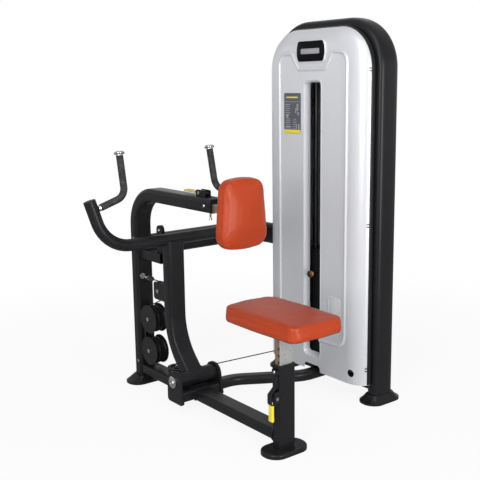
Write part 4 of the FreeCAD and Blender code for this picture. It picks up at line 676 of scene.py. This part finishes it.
def bead_section(width: float, height: float, root: float = 1.0, parts: int = 10) -> list[Flat]:
    """Section of a soft raised line."""
    crest = [(width * (k / parts - 0.5), height * math.sin(math.pi * k / parts) ** 2)
             for k in range(parts + 1)]
    return [(-width / 2, -root), *crest, (width / 2, -root)]


def slab(name: str, outline: Sequence[Flat], to_space: Callable[[float, float, float], Vector],
         thickness: float, edge: float) -> bpy.types.Object:
    """Flat panel with a rounded front edge.

    Args:
        name: name of the object.
        outline: closed outline in millimetres.
        to_space: turns outline coordinates and a height into a point of the row frame.
        thickness: height of the front face in millimetres.
        edge: how far the edge is rounded.

    Returns:
        The object.
    """
    points = [Vector(p) for p in outline]
    centre = sum(points, Vector((0, 0))) / len(points)
    rings = []
    for inset, height in ((0, 0), (0, thickness - edge), (edge * 0.3, thickness - edge * 0.3),
                          (edge, thickness)):
        moved = [p + (centre - p).normalized() * inset for p in points]
        rings.append([to_space(p.x, p.y, height) for p in moved])
    return skinned(name, rings)


# Sub-assemblies

@dataclass
class Cushion:
    """Foam pad in upholstery vinyl, swollen by a cloth simulation. Millimetres.

    Its outline lies in a plane of its own, and to_space puts it into the row frame.
    """

    name: str
    replaced: str
    body: str
    corners: tuple[Flat, ...]
    radii: tuple[float, ...]
    depth: float
    to_space: Callable[[float, float, float], Vector]
    crown: float
    edge_inset: float
    swell: float
    start_inset: float
    pressure: float = 4.0
    frames: int = 20
    voxel: float = 4.0
    base_band: float = 6.0
    outline_step: float = 7.0
    fill: float = 0.85

    def shape(self) -> bpy.types.Object:
        """Closed form of the pad before it swells."""
        outline = rounded_outline(self.corners, self.radii, self.outline_step)
        middle_height = self.depth - self.start_inset
        wall = middle_height - self.crown
        inset = self.edge_inset
        profile = ((0.0, 5.0), (0.08, 1.0), (0.20, 0.0), (0.55, 0.10 * inset), (0.86, 0.30 * inset),
                   (0.955, 0.50 * inset), (1.0, inset))
        rings = [[self.to_space(p.x, p.y, rise * wall)
                  for p in inset_outline(outline, step + self.start_inset)] for rise, step in profile]
        top = inset_outline(outline, inset + self.start_inset)
        centre = sum(top, Vector((0, 0))) / len(top)
        for share in (0.8, 0.55, 0.3, 0.1):
            moved = [centre + (point - centre) * share for point in top]
            rings.append([self.to_space(p.x, p.y, middle_height - self.crown * share ** 2) for p in moved])
        return skinned(self.name, rings)

    def height_of(self, point: Vector) -> float:
        """Height of a point of the row frame above the pad's base, in millimetres."""
        base = self.to_space(0, 0, 0)
        up = (self.to_space(0, 0, 1) - base).normalized()
        return (point - base).dot(up) / MILLIMETRE

    def remeshed(self, piece: bpy.types.Object) -> None:
        """Replaces the mesh by even small faces."""
        remesh = piece.modifiers.new("even", "REMESH")
        remesh.mode = "VOXEL"
        remesh.voxel_size = self.voxel * MILLIMETRE
        remesh.use_smooth_shade = True
        self.applied(piece)

    @staticmethod
    def applied(piece: bpy.types.Object) -> None:
        """Makes the result of the modifiers the piece's own mesh."""
        graph = bpy.context.evaluated_depsgraph_get()
        result = bpy.data.meshes.new_from_object(piece.evaluated_get(graph))
        piece.modifiers.clear()
        piece.data = result

    def swollen(self, piece: bpy.types.Object) -> None:
        """Lets pressure swell the cover, holds its base and limits how far a point moves."""
        held = piece.vertex_groups.new(name="base")
        base = [v.index for v in piece.data.vertices if self.height_of(v.co) < self.base_band]
        held.add(base, 1.0, "REPLACE")
        rest = [v.co.copy() for v in piece.data.vertices]
        cloth = piece.modifiers.new("cover", "CLOTH")
        settings = {"quality": 5, "mass": 0.3, "tension_stiffness": 12, "compression_stiffness": 12,
                    "shear_stiffness": 6, "bending_stiffness": 1.2, "vertex_group_mass": held.name,
                    "use_pressure": True, "uniform_pressure_force": self.pressure}
        for setting, value in settings.items():
            setattr(cloth.settings, setting, value)
        cloth.settings.effector_weights.gravity = 0
        cloth.collision_settings.use_collision = False
        scene = bpy.context.scene
        for frame_number in range(1, self.frames + 1):
            scene.frame_set(frame_number)
        self.applied(piece)
        scene.frame_set(1)
        limit = self.swell * MILLIMETRE
        for vertex, before in zip(piece.data.vertices, rest):
            step = vertex.co - before
            if step.length > limit:
                vertex.co = before + step * (limit / step.length)

    def build(self, wardrobe: Wardrobe) -> None:
        """Makes the cushion and puts it in its pad's place."""
        piece = self.shape()
        self.remeshed(piece)
        self.swollen(piece)
        smooth = piece.modifiers.new("finer", "SUBSURF")
        smooth.levels = smooth.render_levels = 1
        piece.data.shade_smooth()
        wardrobe.add(piece, self.body, "pad_orange")
        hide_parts(self.replaced)


@dataclass
class Upholstery:
    """The seat's and the chest support's cushions, with their sizes in millimetres."""

    seat_bottom: float = 494.0
    seat_height: float = 65.0
    chest_back: float = 267.0
    chest_depth: float = 67.0
    chest_bottom: float = 745.0
    chest_height: float = 287.0
    board_inset: float = 7.0
    board_back: float = 0.2
    board_thickness: float = 5.3

    def seat(self) -> Cushion:
        """Seat cushion: square at the back, rounder at the front."""
        corners = ((-128, -197), (0, -204), (128, -197), (136, 20), (131, 216), (0, 236), (-131, 216),
                   (-136, 20))
        radii = (38, 420, 38, 420, 56, 300, 56, 420)
        return Cushion("seat_cushion", "seat_pad", "seat", corners, radii, self.seat_height,
                       lambda x, y, h: at(x, y, self.seat_bottom + h),
                       crown=7.0, edge_inset=6.5, swell=2.0, start_inset=2.5)

    def chest(self) -> Cushion:
        """Chest cushion: wider at the bottom than at the top, crowned towards the user."""
        low, high, arch = 120.0, 96.0, 12.0
        bottom = self.chest_bottom
        top = bottom + self.chest_height
        corners = ((-low, bottom + arch), (0, bottom), (low, bottom + arch),
                   (high, top - arch), (0, top), (-high, top - arch))
        radii = (60, 300, 60, 50, 300, 50)
        return Cushion("chest_cushion", "chest_pad", "chest", corners, radii, self.chest_depth,
                       lambda x, z, h: at(x, self.chest_back - h, z),
                       crown=18.5, edge_inset=6.0, swell=1.4, start_inset=2.0)

    def board(self, cushion: Cushion) -> bpy.types.Object:
        """Board inside a cushion's back."""
        inner = inset_outline(rounded_outline(cushion.corners, cushion.radii, 9.0), self.board_inset)
        return slab(f"{cushion.name}_board", inner,
                    lambda u, v, h: cushion.to_space(u, v, self.board_back + h), self.board_thickness, 0.3)

    def build(self, wardrobe: Wardrobe) -> None:
        """Makes both cushions with their boards."""
        for cushion in (self.seat(), self.chest()):
            cushion.build(wardrobe)
            wardrobe.add(self.board(cushion), cushion.body, "plastic_black")


@dataclass
class Joinery:
    """Weld beads at the frame's joints, and dark discs of painted shade in its bolts' sockets. Millimetres.
    """

    weld_radius: float = 3.0
    lever_weld_radius: float = 3.4
    sleeve_radius: float = 36.0

    def weld(self, name: str, low: Flat, high: Flat, corner: float,
             to_space: Callable[[float, float], Vector]) -> bpy.types.Object:
        """Rippled bead round the end of a box tube.

        Args:
            name: name of the object.
            low, high: opposite corners of the tube's section.
            corner: its corner radius.
            to_space: turns section coordinates into a point of the row frame.

        Returns:
            The bead.
        """
        grown = self.weld_radius * 0.3
        outline = rounded_outline(((low[0] - grown, low[1] - grown), (high[0] + grown, low[1] - grown),
                                   (high[0] + grown, high[1] + grown), (low[0] - grown, high[1] + grown)),
                                  (corner,) * 4, 3.0)
        radii = [self.weld_radius * (1 + 0.14 * math.sin(i * 1.9) + 0.06 * math.sin(i * 0.7))
                 for i in range(len(outline))]
        return swept(name, [to_space(u, v) for u, v in outline], radii, 8, True)

    def welds(self) -> bpy.types.Object:
        """All beads on the fixed frame."""
        crosswise = (("beam_front", (-40, 46), (40, 90), 10, 21.5),
                     ("beam_box", (-40, 46), (40, 90), 10, 539.5),
                     ("beam_box_rear", (-40, 46), (40, 90), 10, 640.5),
                     ("beam_column", (-40, 46), (40, 90), 10, 974.5),
                     ("stop_column", (-25, 597), (25, 643), 6, 974.5),
                     ("link_leg", (635, 598), (685, 698), 20, 759.5))
        lengthwise = (("link_column", (979, 598), (1029, 698), 20, 43.5),
                      ("link_plate", (556, 38), (616, 98), 16, 109.5))
        beads = [self.weld(name, low, high, corner, lambda x, z, y=y: at(x, y, z))
                 for name, low, high, corner, y in crosswise]
        beads += [self.weld(name, low, high, corner, lambda y, z, x=x: at(x, y, z))
                  for name, low, high, corner, x in lengthwise]
        return joined("frame_welds", beads)

    def lever_weld(self) -> bpy.types.Object:
        """Bead between the lever's tube and its sleeve."""
        line = []
        for x, across in rounded_outline(((-44, -31), (44, -31), (44, 31), (-44, 31)), (16,) * 4, 3.0):
            along = math.sqrt(self.sleeve_radius ** 2 - across ** 2)
            line.append(at(x, PIVOT_Y + along * math.sin(LEAN) + across * math.cos(LEAN),
                           PIVOT_Z + along * math.cos(LEAN) - across * math.sin(LEAN)))
        radii = [self.lever_weld_radius * (1 + 0.14 * math.sin(i * 1.9)) for i in range(len(line))]
        return swept("lever_weld", line, radii, 8, True)

    def sockets(self) -> bpy.types.Object:
        """Dark hexagon discs on the bolt heads: painted shade standing in for the hollow of each hex socket.
        """
        places = [((-46.6, 995.0, 104.0), -X_AXIS), ((-46.6, 995.0, 690.0), -X_AXIS),
                  ((-46.6, 434.0, 901.0), -X_AXIS), ((-11.6, 834.0, 745.0), -X_AXIS)]
        profile = ((3.2, 0), (3.2, 1.2), (2.6, 1.4), (0.01, 1.4))
        pieces = [turned(f"socket_{i}", at(*place), axis, profile, 6)
                  for i, (place, axis) in enumerate(places)]
        return joined("bolt_socket_shades", pieces)

    def build(self, wardrobe: Wardrobe) -> None:
        """Makes the welds and sockets."""
        wardrobe.add(self.welds(), "frame", "frame_black")
        wardrobe.add(self.lever_weld(), "lever", "frame_black")
        # dark discs paint the shade inside the bolts' hex sockets
        wardrobe.add(self.sockets(), "frame", "plastic_black")


@dataclass
class Tower:
    """Weight tower: oval frame tube, a dark strip of painted shade at the shroud's edge, slot liner, beads
    and plates. Millimetres.
    """

    x: float = 660.0
    y: float = 427.0
    face_x: float = 533.0
    half_span: float = 306.0
    top_z: float = 1612.0
    bend: float = 180.0
    floor_z: float = 7.0
    tube_half_depth: float = 55.0
    tube_half_width: float = 33.5
    tube_power: float = 3.0
    tube_sides: int = 48
    shroud_half: float = 312.0
    shroud_top: float = 1610.0
    shroud_corner: float = 176.0
    shroud_bottom: float = 84.0
    bead_width: float = 21.0
    bead_height: float = 5.5
    name_z: float = 1511.0

    def arch_line(self, half: float, top: float, corner: float, bottom: float) -> list[Vector]:
        """Line up one side, over the top and down the other side, at x = 0."""
        corners = [Vector((0, self.y - half, bottom)), Vector((0, self.y - half, top)),
                   Vector((0, self.y + half, top)), Vector((0, self.y + half, bottom))]
        return bent_line(corners, (corner, corner), 9.0)

    def frame_tube(self) -> bpy.types.Object:
        """Bent tube of oval section."""
        def rounded(value: float) -> float:
            """Cosine or sine on a circle that is squared off a little."""
            return math.copysign(abs(value) ** (2 / self.tube_power), value)

        turns = [2 * math.pi * k / self.tube_sides for k in range(self.tube_sides)]
        section = [(self.tube_half_width * rounded(math.cos(turn)),
                    self.x + self.tube_half_depth * rounded(math.sin(turn))) for turn in turns]
        line = self.arch_line(self.half_span, self.top_z, self.bend, self.floor_z)
        return moulding("tower_arch_tube", line, section, X_AXIS)

    def groove_shade_strip(self) -> bpy.types.Object:
        """Dark strip of painted shade: it fills the groove beside the frame tube and laps over the shroud's
        edge, where shade falls.
        """
        profile = ((576.0, -7.0), (576.0, -2.4), (577.0, -1.2), (584.0, 1.2), (592.0, 2.0), (594.5, 1.0),
                   (595.0, -7.3), (605.8, -7.3), (605.8, -12.0), (590.0, -12.0))
        line = self.arch_line(self.shroud_half, self.shroud_top, self.shroud_corner, self.shroud_bottom + 2)
        return moulding("shroud_groove_shade", line, [(-outward, x) for x, outward in profile], X_AXIS)

    def slot_liner(self) -> bpy.types.Object:
        """Sloping frame round the selector slot."""
        steps = ((364, 490, 132, 1396, 18, 532.7), (367.2, 476, 146, 1389, 22, 531.2),
                 (368.2, 474, 150, 1387, 22, 532.6), (369.5, 472, 154, 1384, 20, 540),
                 (374, 466, 164, 1379, 14, 562), (370, 470, 158, 1384, 16, 563),
                 (364, 490, 132, 1396, 18, 536))
        rings = [[at(x, y, z) for y, z in rounded_rectangle((y0, z0), (y1, z1), corner)]
                 for y0, y1, z0, z1, corner, x in steps]
        return skinned("slot_liner", rings, True)

    def beads(self) -> list[bpy.types.Object]:
        """Pressed line round the face, and the frame of the pressed field beside the slot."""
        face = Vector((self.face_x, 0, 0))
        half, top, low = 212.0, 1504.0, 238.0
        corners = [(-54, low), (-half, low), (-half, top), (-128, top), (-86, 1436), (86, 1436), (128, top),
                   (half, top), (half, low), (54, low)]
        line = bent_line([face + Vector((0, self.y + y, z)) for y, z in corners],
                         (58, 44, 14, 14, 14, 14, 44, 58), 6.0)
        main = moulding("shroud_bead", line, bead_section(self.bead_width, self.bead_height), -X_AXIS)
        rim = [face + Vector((0, y, z)) for y, z in rounded_rectangle((244, 316), (314, 452), 13)]
        frame = moulding("field_bead", rim, bead_section(9.0, 2.6), -X_AXIS, True)
        plate = slab("field_plate", rounded_rectangle((246, 318), (312, 450), 12),
                     lambda y, z, h: at(self.face_x - h, y, z), 0.9, 0.3)
        return [main, frame, plate]

    def plate(self, name: str, low: Flat, high: Flat, corner: float, proud: float, thickness: float,
              edge: float) -> bpy.types.Object:
        """Flat plate on the shroud's face.

        Args:
            name: name of the object.
            low, high: opposite corners as y and z.
            corner: corner radius.
            proud: height of its back above the face.
            thickness: its thickness.
            edge: how far its edge is rounded.

        Returns:
            The plate.
        """
        return slab(name, rounded_rectangle(low, high, corner),
                    lambda y, z, h: at(self.face_x - proud - h, y, z), thickness, edge)

    def name_plate(self, wardrobe: Wardrobe) -> None:
        """Blank name plate: black, with rounded ends, in a pale rim."""
        for name, grow, proud, thickness, finish in (("name_plate_rim", 3.2, -1.5, 8.5, "plate_pale"),
                                                     ("name_plate", 0.0, 5.0, 6.0, "plate_gloss")):
            half, tip, rise = 77.0 + grow, 90.0 + grow, 43.0 + grow
            corners = ((-half, -rise), (half, -rise), (tip, 0), (half, rise), (-half, rise), (-tip, 0))
            plate = slab(name, rounded_outline(corners, (13, 13, 90, 13, 13, 90), 6.0),
                         lambda y, z, h, back=proud: at(self.face_x - back - h, self.y + y, self.name_z + z),
                         thickness, 2.6)
            wardrobe.add(plate, "frame", "plastic_black", finish)
        band = self.plate("name_plate_band", (self.y - 58, 1500), (self.y + 58, 1522), 4, 10.9, 0.4, 0.1)
        wardrobe.add(band, "frame", "plastic_black", "placard_pale")

    def placard(self, wardrobe: Wardrobe) -> None:
        """Blank instruction placard: title bar, generic lines and blocks, and a yellow foot."""
        back = self.plate("placard", (496, 1157), (606, 1335), 6, 0.2, 1.4, 0.4)
        wardrobe.add(back, "frame", "plastic_black", "placard_grey")
        yellow = [((514, 1313), (590, 1319)), ((496.5, 1158), (605.5, 1174))]
        lines = [((500, 1296), (602, 1298))]
        for k in range(6):
            lines.append(((564 + 6 * (k % 2), 1283 - 9 * k), (598, 1286 - 9 * k)))
            lines.append(((564, 1219 - 8 * k), (592 + 3 * (k % 3), 1222 - 8 * k)))
            lines.append(((524, 1219 - 8 * k), (546 + 4 * (k % 2), 1221.5 - 8 * k)))
        figures = [((512, 1258), (522, 1288)), ((524, 1246), (531, 1270)), ((508, 1238), (516, 1252)),
                   ((578, 1226), (592, 1238)), ((504, 1178), (512, 1200)), ((520, 1178), (526, 1200)),
                   ((556, 1184), (598, 1187)), ((560, 1178), (592, 1180.5))]
        for name, marks, finish in (("placard_title", yellow, "plastic_yellow"),
                                    ("placard_lines", lines + figures, "placard_pale")):
            pieces = [self.plate(f"{name}_{i}", low, high, 1.0, 1.5, 0.35, 0.1)
                      for i, (low, high) in enumerate(marks)]
            wardrobe.add(joined(name, pieces), "frame", "plastic_black", finish)

    def clips(self) -> bpy.types.Object:
        """Dark clips at the shroud's near edge."""
        def to_space(x: float, z: float, h: float) -> Vector:
            """Point on the shroud's slanting near edge."""
            return at(x, self.y - self.shroud_half + 8.0 - h - (x - 566) * 0.35, z)

        heights = [z + k for z in (1428.0, 788.0, 156.0) for k in (-5.5, 5.5)]
        pieces = [slab(f"clip_{z:.1f}", rounded_rectangle((566, z - 1.8), (578, z + 1.8), 1.2, 2), to_space,
                       4.5, 0.5) for z in heights]
        return joined("shroud_clips", pieces)

    def build(self, wardrobe: Wardrobe) -> None:
        """Makes the tower's pieces."""
        tube = wardrobe.add(self.frame_tube(), "frame", "frame_black")
        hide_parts("tower_arch")
        # dark strip paints the shade in the groove between the shroud and the frame tube
        wardrobe.add(self.groove_shade_strip(), "frame", "rubber_black", "frame_black")
        wardrobe.add(self.slot_liner(), "frame", "shroud_silver")
        for piece in self.beads():
            wardrobe.add(piece, "frame", "shroud_silver")
        self.name_plate(wardrobe)
        self.placard(wardrobe)
        wardrobe.add(self.clips(), "frame", "plastic_black")


@dataclass
class Lever:
    """Lever arm with its long bend, its handles' ends and its pivot. Millimetres."""

    tube_y: float = 735.0
    tube_top: float = 714.0
    bend: float = 290.0
    half_width: float = 43.0
    half_depth: float = 30.0
    corner: float = 16.0
    tube_start: float = 22.0
    handle_corner: Point = (231.0, 731.0, 929.0)
    handle_tip: Point = (229.0, 766.0, 1094.0)
    cap_lift: float = 6.0
    boss_x: float = 113.0

    def tube(self) -> bpy.types.Object:
        """Bent tube from the pivot's sleeve up to the crossbar."""
        start = Vector((0, PIVOT_Y, PIVOT_Z))
        rise = (self.tube_y - start.y) / math.tan(LEAN)
        knee = Vector((0, self.tube_y, start.z + rise))
        first = start + (knee - start).normalized() * self.tube_start
        line = bent_line([first, knee, Vector((0, self.tube_y, self.tube_top))], (self.bend,), 9.0)
        section = rounded_rectangle((-self.half_depth, -self.half_width), (self.half_depth, self.half_width),
                                    self.corner)
        return moulding("lever_bent_tube", line, section, X_AXIS)

    def cap_tops(self) -> bpy.types.Object:
        """Domed rings on the plated caps of the two handles."""
        profile = ((19.0, -1.0), (21.5, 1.0), (22.5, 4.5), (21.5, 8.0), (17.0, 11.5), (13.5, 12.0),
                   (12.0, 10.6), (8.5, 10.4), (7.5, 12.2), (0.01, 12.8))
        pieces = []
        for side in (1, -1):
            corner, tip = (Vector((x * side, y, z)) for x, y, z in (self.handle_corner, self.handle_tip))
            along = (tip - corner).normalized()
            pieces.append(turned(f"cap_{side}", at(*(tip + along * self.cap_lift)), along, profile))
        return joined("handle_cap_tops", pieces)

    def pivot_boss(self) -> bpy.types.Object:
        """Stepped washer and socket on the pivot's near cap."""
        profile = ((23.5, -1.0), (23.5, 3.6), (21.5, 4.6), (16.0, 5.0), (15.0, 8.4), (13.6, 9.2), (8.4, 9.2),
                   (7.2, 8.2), (7.0, 4.6), (0.01, 4.4))
        pieces = [turned(f"boss_{side}", at(side * self.boss_x, PIVOT_Y, PIVOT_Z), X_AXIS * side, profile)
                  for side in (-1, 1)]
        return joined("pivot_bosses", pieces)

    def build(self, wardrobe: Wardrobe) -> None:
        """Makes the lever's pieces."""
        tube = wardrobe.add(self.tube(), "lever", "frame_black")
        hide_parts("lever_tube")
        wardrobe.add(self.cap_tops(), "lever", "chrome")
        wardrobe.add(self.pivot_boss(), "frame", "chrome")


@dataclass
class Cabling:
    """The taut cable's moving stretches and the wheels beside the column's pulleys. Millimetres."""

    cable_radius: float = 2.6
    cable_x: float = -20.0
    block: Flat = (817.0, 474.0)
    block_wrap: float = 40.9
    column: Flat = (906.0, 324.0)
    column_low_z: float = 173.0
    column_wrap: float = 58.9
    anchor_end_y: float = 898.0
    stack: Flat = (650.0, 427.0)
    stack_low_z: float = 636.8
    stack_high_z: float = 1492.0
    stack_keep: float = 0.4649      # share of the stack's cable that is left at full lift
    fold_start_y: float = 880.0
    fold_end_y: float = 850.0
    lead: float = 40.0
    wrap_steps: int = 24
    wheel_x: float = -5.5

    def lever_run(self) -> bpy.types.Object:
        """Cable from its fitting round the lever's wheel to the upper column pulley."""
        block, column = Vector(self.block), Vector(self.column)
        step = column - block
        cross = -self.column_wrap - self.block_wrap
        run = math.sqrt(step.length_squared - cross ** 2)
        along = Vector((run * step.x + cross * step.y, run * step.y - cross * step.x)) / step.length_squared
        leaves = block + Vector((along.y, -along.x)) * self.block_wrap
        meets = column + Vector((-along.y, along.x)) * self.column_wrap
        first = Vector((0, 1)) * self.block_wrap
        sweep = first.angle_signed(leaves - block)
        if sweep > 0:
            sweep -= 2 * math.pi
        steps = self.wrap_steps
        turns = [block + Matrix.Rotation(-sweep * k / steps, 2) @ first for k in range(steps + 1)]
        level = self.block[1] + self.block_wrap
        flat = [Vector((self.anchor_end_y, level)), Vector((self.anchor_end_y - self.lead, level)), *turns,
                meets]
        line = [at(self.cable_x, p.x, p.y) for p in flat]
        return swept("lever_cable_run", line, [self.cable_radius] * len(line), 12)

    def stack_run(self) -> bpy.types.Object:
        """Upright cable between the front top pulley and the stack."""
        line = [at(*self.stack, z) for z in (self.stack_low_z, 900, 1200, self.stack_high_z)]
        return swept("stack_cable_run", line, [self.cable_radius] * len(line), 12)

    def sleeve(self) -> bpy.types.Object:
        """Black sleeve on the cable's plated socket."""
        origin = at(self.cable_x, self.anchor_end_y, self.block[1] + self.block_wrap)
        return turned("cable_sleeve", origin, -Y_AXIS,
                      ((7.0, -14), (10.5, -12), (11.5, 0), (11.0, 12), (7.0, 20), (3.0, 24)), 24)

    def column_wheels(self) -> bpy.types.Object:
        """Idle wheels that fill the space between the column's pulleys and the far guards."""
        profile = ((12, 0), (58, 0), (61.5, 1.5), (62, 4), (58, 8), (56.5, 13), (58, 20), (62, 24),
                   (61.5, 27), (58, 29), (12, 29))
        pieces = [turned(f"wheel_{z:.0f}", at(self.wheel_x, self.column[0], z), X_AXIS, profile, 48)
                  for z in (self.column_low_z, self.column[1])]
        return joined("column_idle_wheels", pieces)

    def build(self, wardrobe: Wardrobe) -> None:
        """Makes the cable's moving stretches and their fittings."""
        run = wardrobe.add(self.lever_run(), None, "cable_black")
        level = self.block[1]
        tuple(at(self.cable_x, self.fold_start_y, level))
        tuple(at(self.cable_x, self.fold_end_y, level))
        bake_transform(run)
        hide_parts("lever_cable")
        upright = wardrobe.add(self.stack_run(), "frame", "cable_black")
        tuple(at(*self.stack, self.stack_high_z))
        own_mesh(upright)
        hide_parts("stack_cable")
        wardrobe.add(self.sleeve(), "frame", "rubber_black")
        wardrobe.add(self.column_wheels(), "frame", "pulley_black")


@dataclass
class Studio:
    """Camera, floor and soft lights."""

    camera_place: Point = (-1904.57, -2212.48, 1380.0)
    lens: float = 61.275
    sensor: float = 36.0
    yaw: float = 37.65
    pitch: float = 10.85
    roll: float = 0.81
    ambient: float = 0.34
    floor_half: float = 30.0
    lamps: tuple[tuple[str, Point, Point, Flat, float], ...] = (
        ("key", (-3.3, -1.9, 1.9), (0.0, 0.0, 0.8), (1.3, 2.4), 64),
        ("top", (-1.6, -1.6, 3.8), (0.0, 0.0, 0.8), (2.4, 2.4), 40),
        ("front", (-0.25, -3.5, 1.1), (0.0, 0.0, 0.9), (0.6, 2.0), 52),
        ("back", (2.4, 2.6, 3.2), (0.0, 0.0, 0.9), (2.6, 2.6), 8))

    def camera(self) -> None:
        """Camera at the photograph's viewing angle."""
        yaw, pitch, roll = (math.radians(a) for a in (self.yaw, self.pitch, self.roll))
        ahead = Vector((math.sin(yaw) * math.cos(pitch), math.cos(yaw) * math.cos(pitch), -math.sin(pitch)))
        right = Vector((math.cos(yaw), -math.sin(yaw), 0))
        down = ahead.cross(right)
        rolled_right = right * math.cos(roll) + down * math.sin(roll)
        rolled_down = down * math.cos(roll) - right * math.sin(roll)
        data = bpy.data.cameras.new("camera")
        data.lens = self.lens
        data.sensor_width = self.sensor
        data.clip_end = 100
        camera = bpy.data.objects.new("camera", data)
        turn = Matrix((rolled_right, -rolled_down, -ahead)).transposed()
        camera.matrix_world = Matrix.Translation(at(*self.camera_place)) @ turn.to_4x4()
        bpy.context.scene.collection.objects.link(camera)
        bpy.context.scene.camera = camera

    def floor(self) -> None:
        """Pale floor that keeps the machine's shadow."""
        half = self.floor_half
        corners = [Vector((x, y, 0)) for x, y in ((-half, -half), (half, -half), (half, half), (-half, half))]
        floor = mesh_piece("floor", corners, [(0, 1, 2, 3)])
        graph = Graph(bpy.data.materials.new("floor"))
        away = graph.node("ShaderNodeVectorMath", {"operation": "LENGTH"}, {0: graph.place()}, "Value")
        seen = graph.ray("Is Camera Ray") * (away.ramp(0.9, 3.0) * 0.10 + 0.90)
        matte = graph.node("ShaderNodeBsdfDiffuse", None, {"Color": (0.9, 0.9, 0.9, 1)})
        mirrored = graph.glow("ShaderNodeEmission", self.ambient)
        white = graph.glow("ShaderNodeEmission", 1.0)
        graph.end(graph.mixed(seen, graph.mixed(graph.ray("Is Glossy Ray"), matte, mirrored), white))
        floor.data.materials.append(graph.owner)

    def world(self) -> None:
        """White behind the machine, and plain soft light from all sides.

        Glossy surfaces see the white too, less of it the higher they look.
        """
        graph = Graph(bpy.data.worlds.new("studio"))
        rise = graph.node("ShaderNodeNewGeometry", output="Incoming").along("Z") * -1.0
        level = 1 - rise.ramp(0.02, 0.30) * 0.78
        seen = (level * graph.ray("Is Glossy Ray")).at_least(graph.ray("Is Camera Ray"))
        soft = graph.glow("ShaderNodeBackground", self.ambient)
        white = graph.glow("ShaderNodeBackground", 1.0)
        graph.end(graph.mixed(seen.at_least(graph.ray("Is Transmission Ray")), soft, white))
        bpy.context.scene.world = graph.owner

    def lamp(self, name: str, place: Point, aim: Point, size: Flat, watts: float) -> None:
        """Soft lamp.

        Args:
            name: name of the lamp.
            place: where it hangs.
            aim: the point that it faces.
            size: width and height in metres.
            watts: power.
        """
        data = bpy.data.lights.new(name, "AREA")
        data.shape = "RECTANGLE"
        data.size, data.size_y = size
        data.energy = watts
        lamp = bpy.data.objects.new(name, data)
        lamp.location = place
        lamp.rotation_mode = "QUATERNION"
        lamp.rotation_quaternion = (Vector(aim) - Vector(place)).to_track_quat("-Z", "Y")
        bpy.context.scene.collection.objects.link(lamp)

    def build(self) -> None:
        """Sets up the studio."""
        self.camera()
        self.floor()
        self.world()
        for lamp in self.lamps:
            self.lamp(*lamp)
        bpy.context.scene.view_settings.view_transform = "Standard"


def dress_nodes(nodes: dict[str, bpy.types.Object], record: dict, wardrobe: Wardrobe) -> None:
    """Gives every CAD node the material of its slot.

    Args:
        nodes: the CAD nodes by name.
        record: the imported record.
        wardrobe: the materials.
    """
    for part in record["subparts"]:
        node = nodes[part["node"]]
        wardrobe.dress(node, NODE_FINISHES.get(part["node"], part["material_slot"]))
        LOG.info("node %s in %s", node.name, part["material_slot"])


def main() -> None:
    """Builds the studio and every part of the machine."""
    logging.basicConfig(level=logging.INFO, format="%(name)s: %(message)s")
    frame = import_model()
    wardrobe = Wardrobe()
    Studio().build()
    dress_nodes(frame["nodes"], frame["record"], wardrobe)
    for assembly in (Tower(), Lever(), Cabling(), Joinery(), Upholstery()):
        assembly.build(wardrobe)
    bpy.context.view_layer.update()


if __name__ == "__main__":
    main()
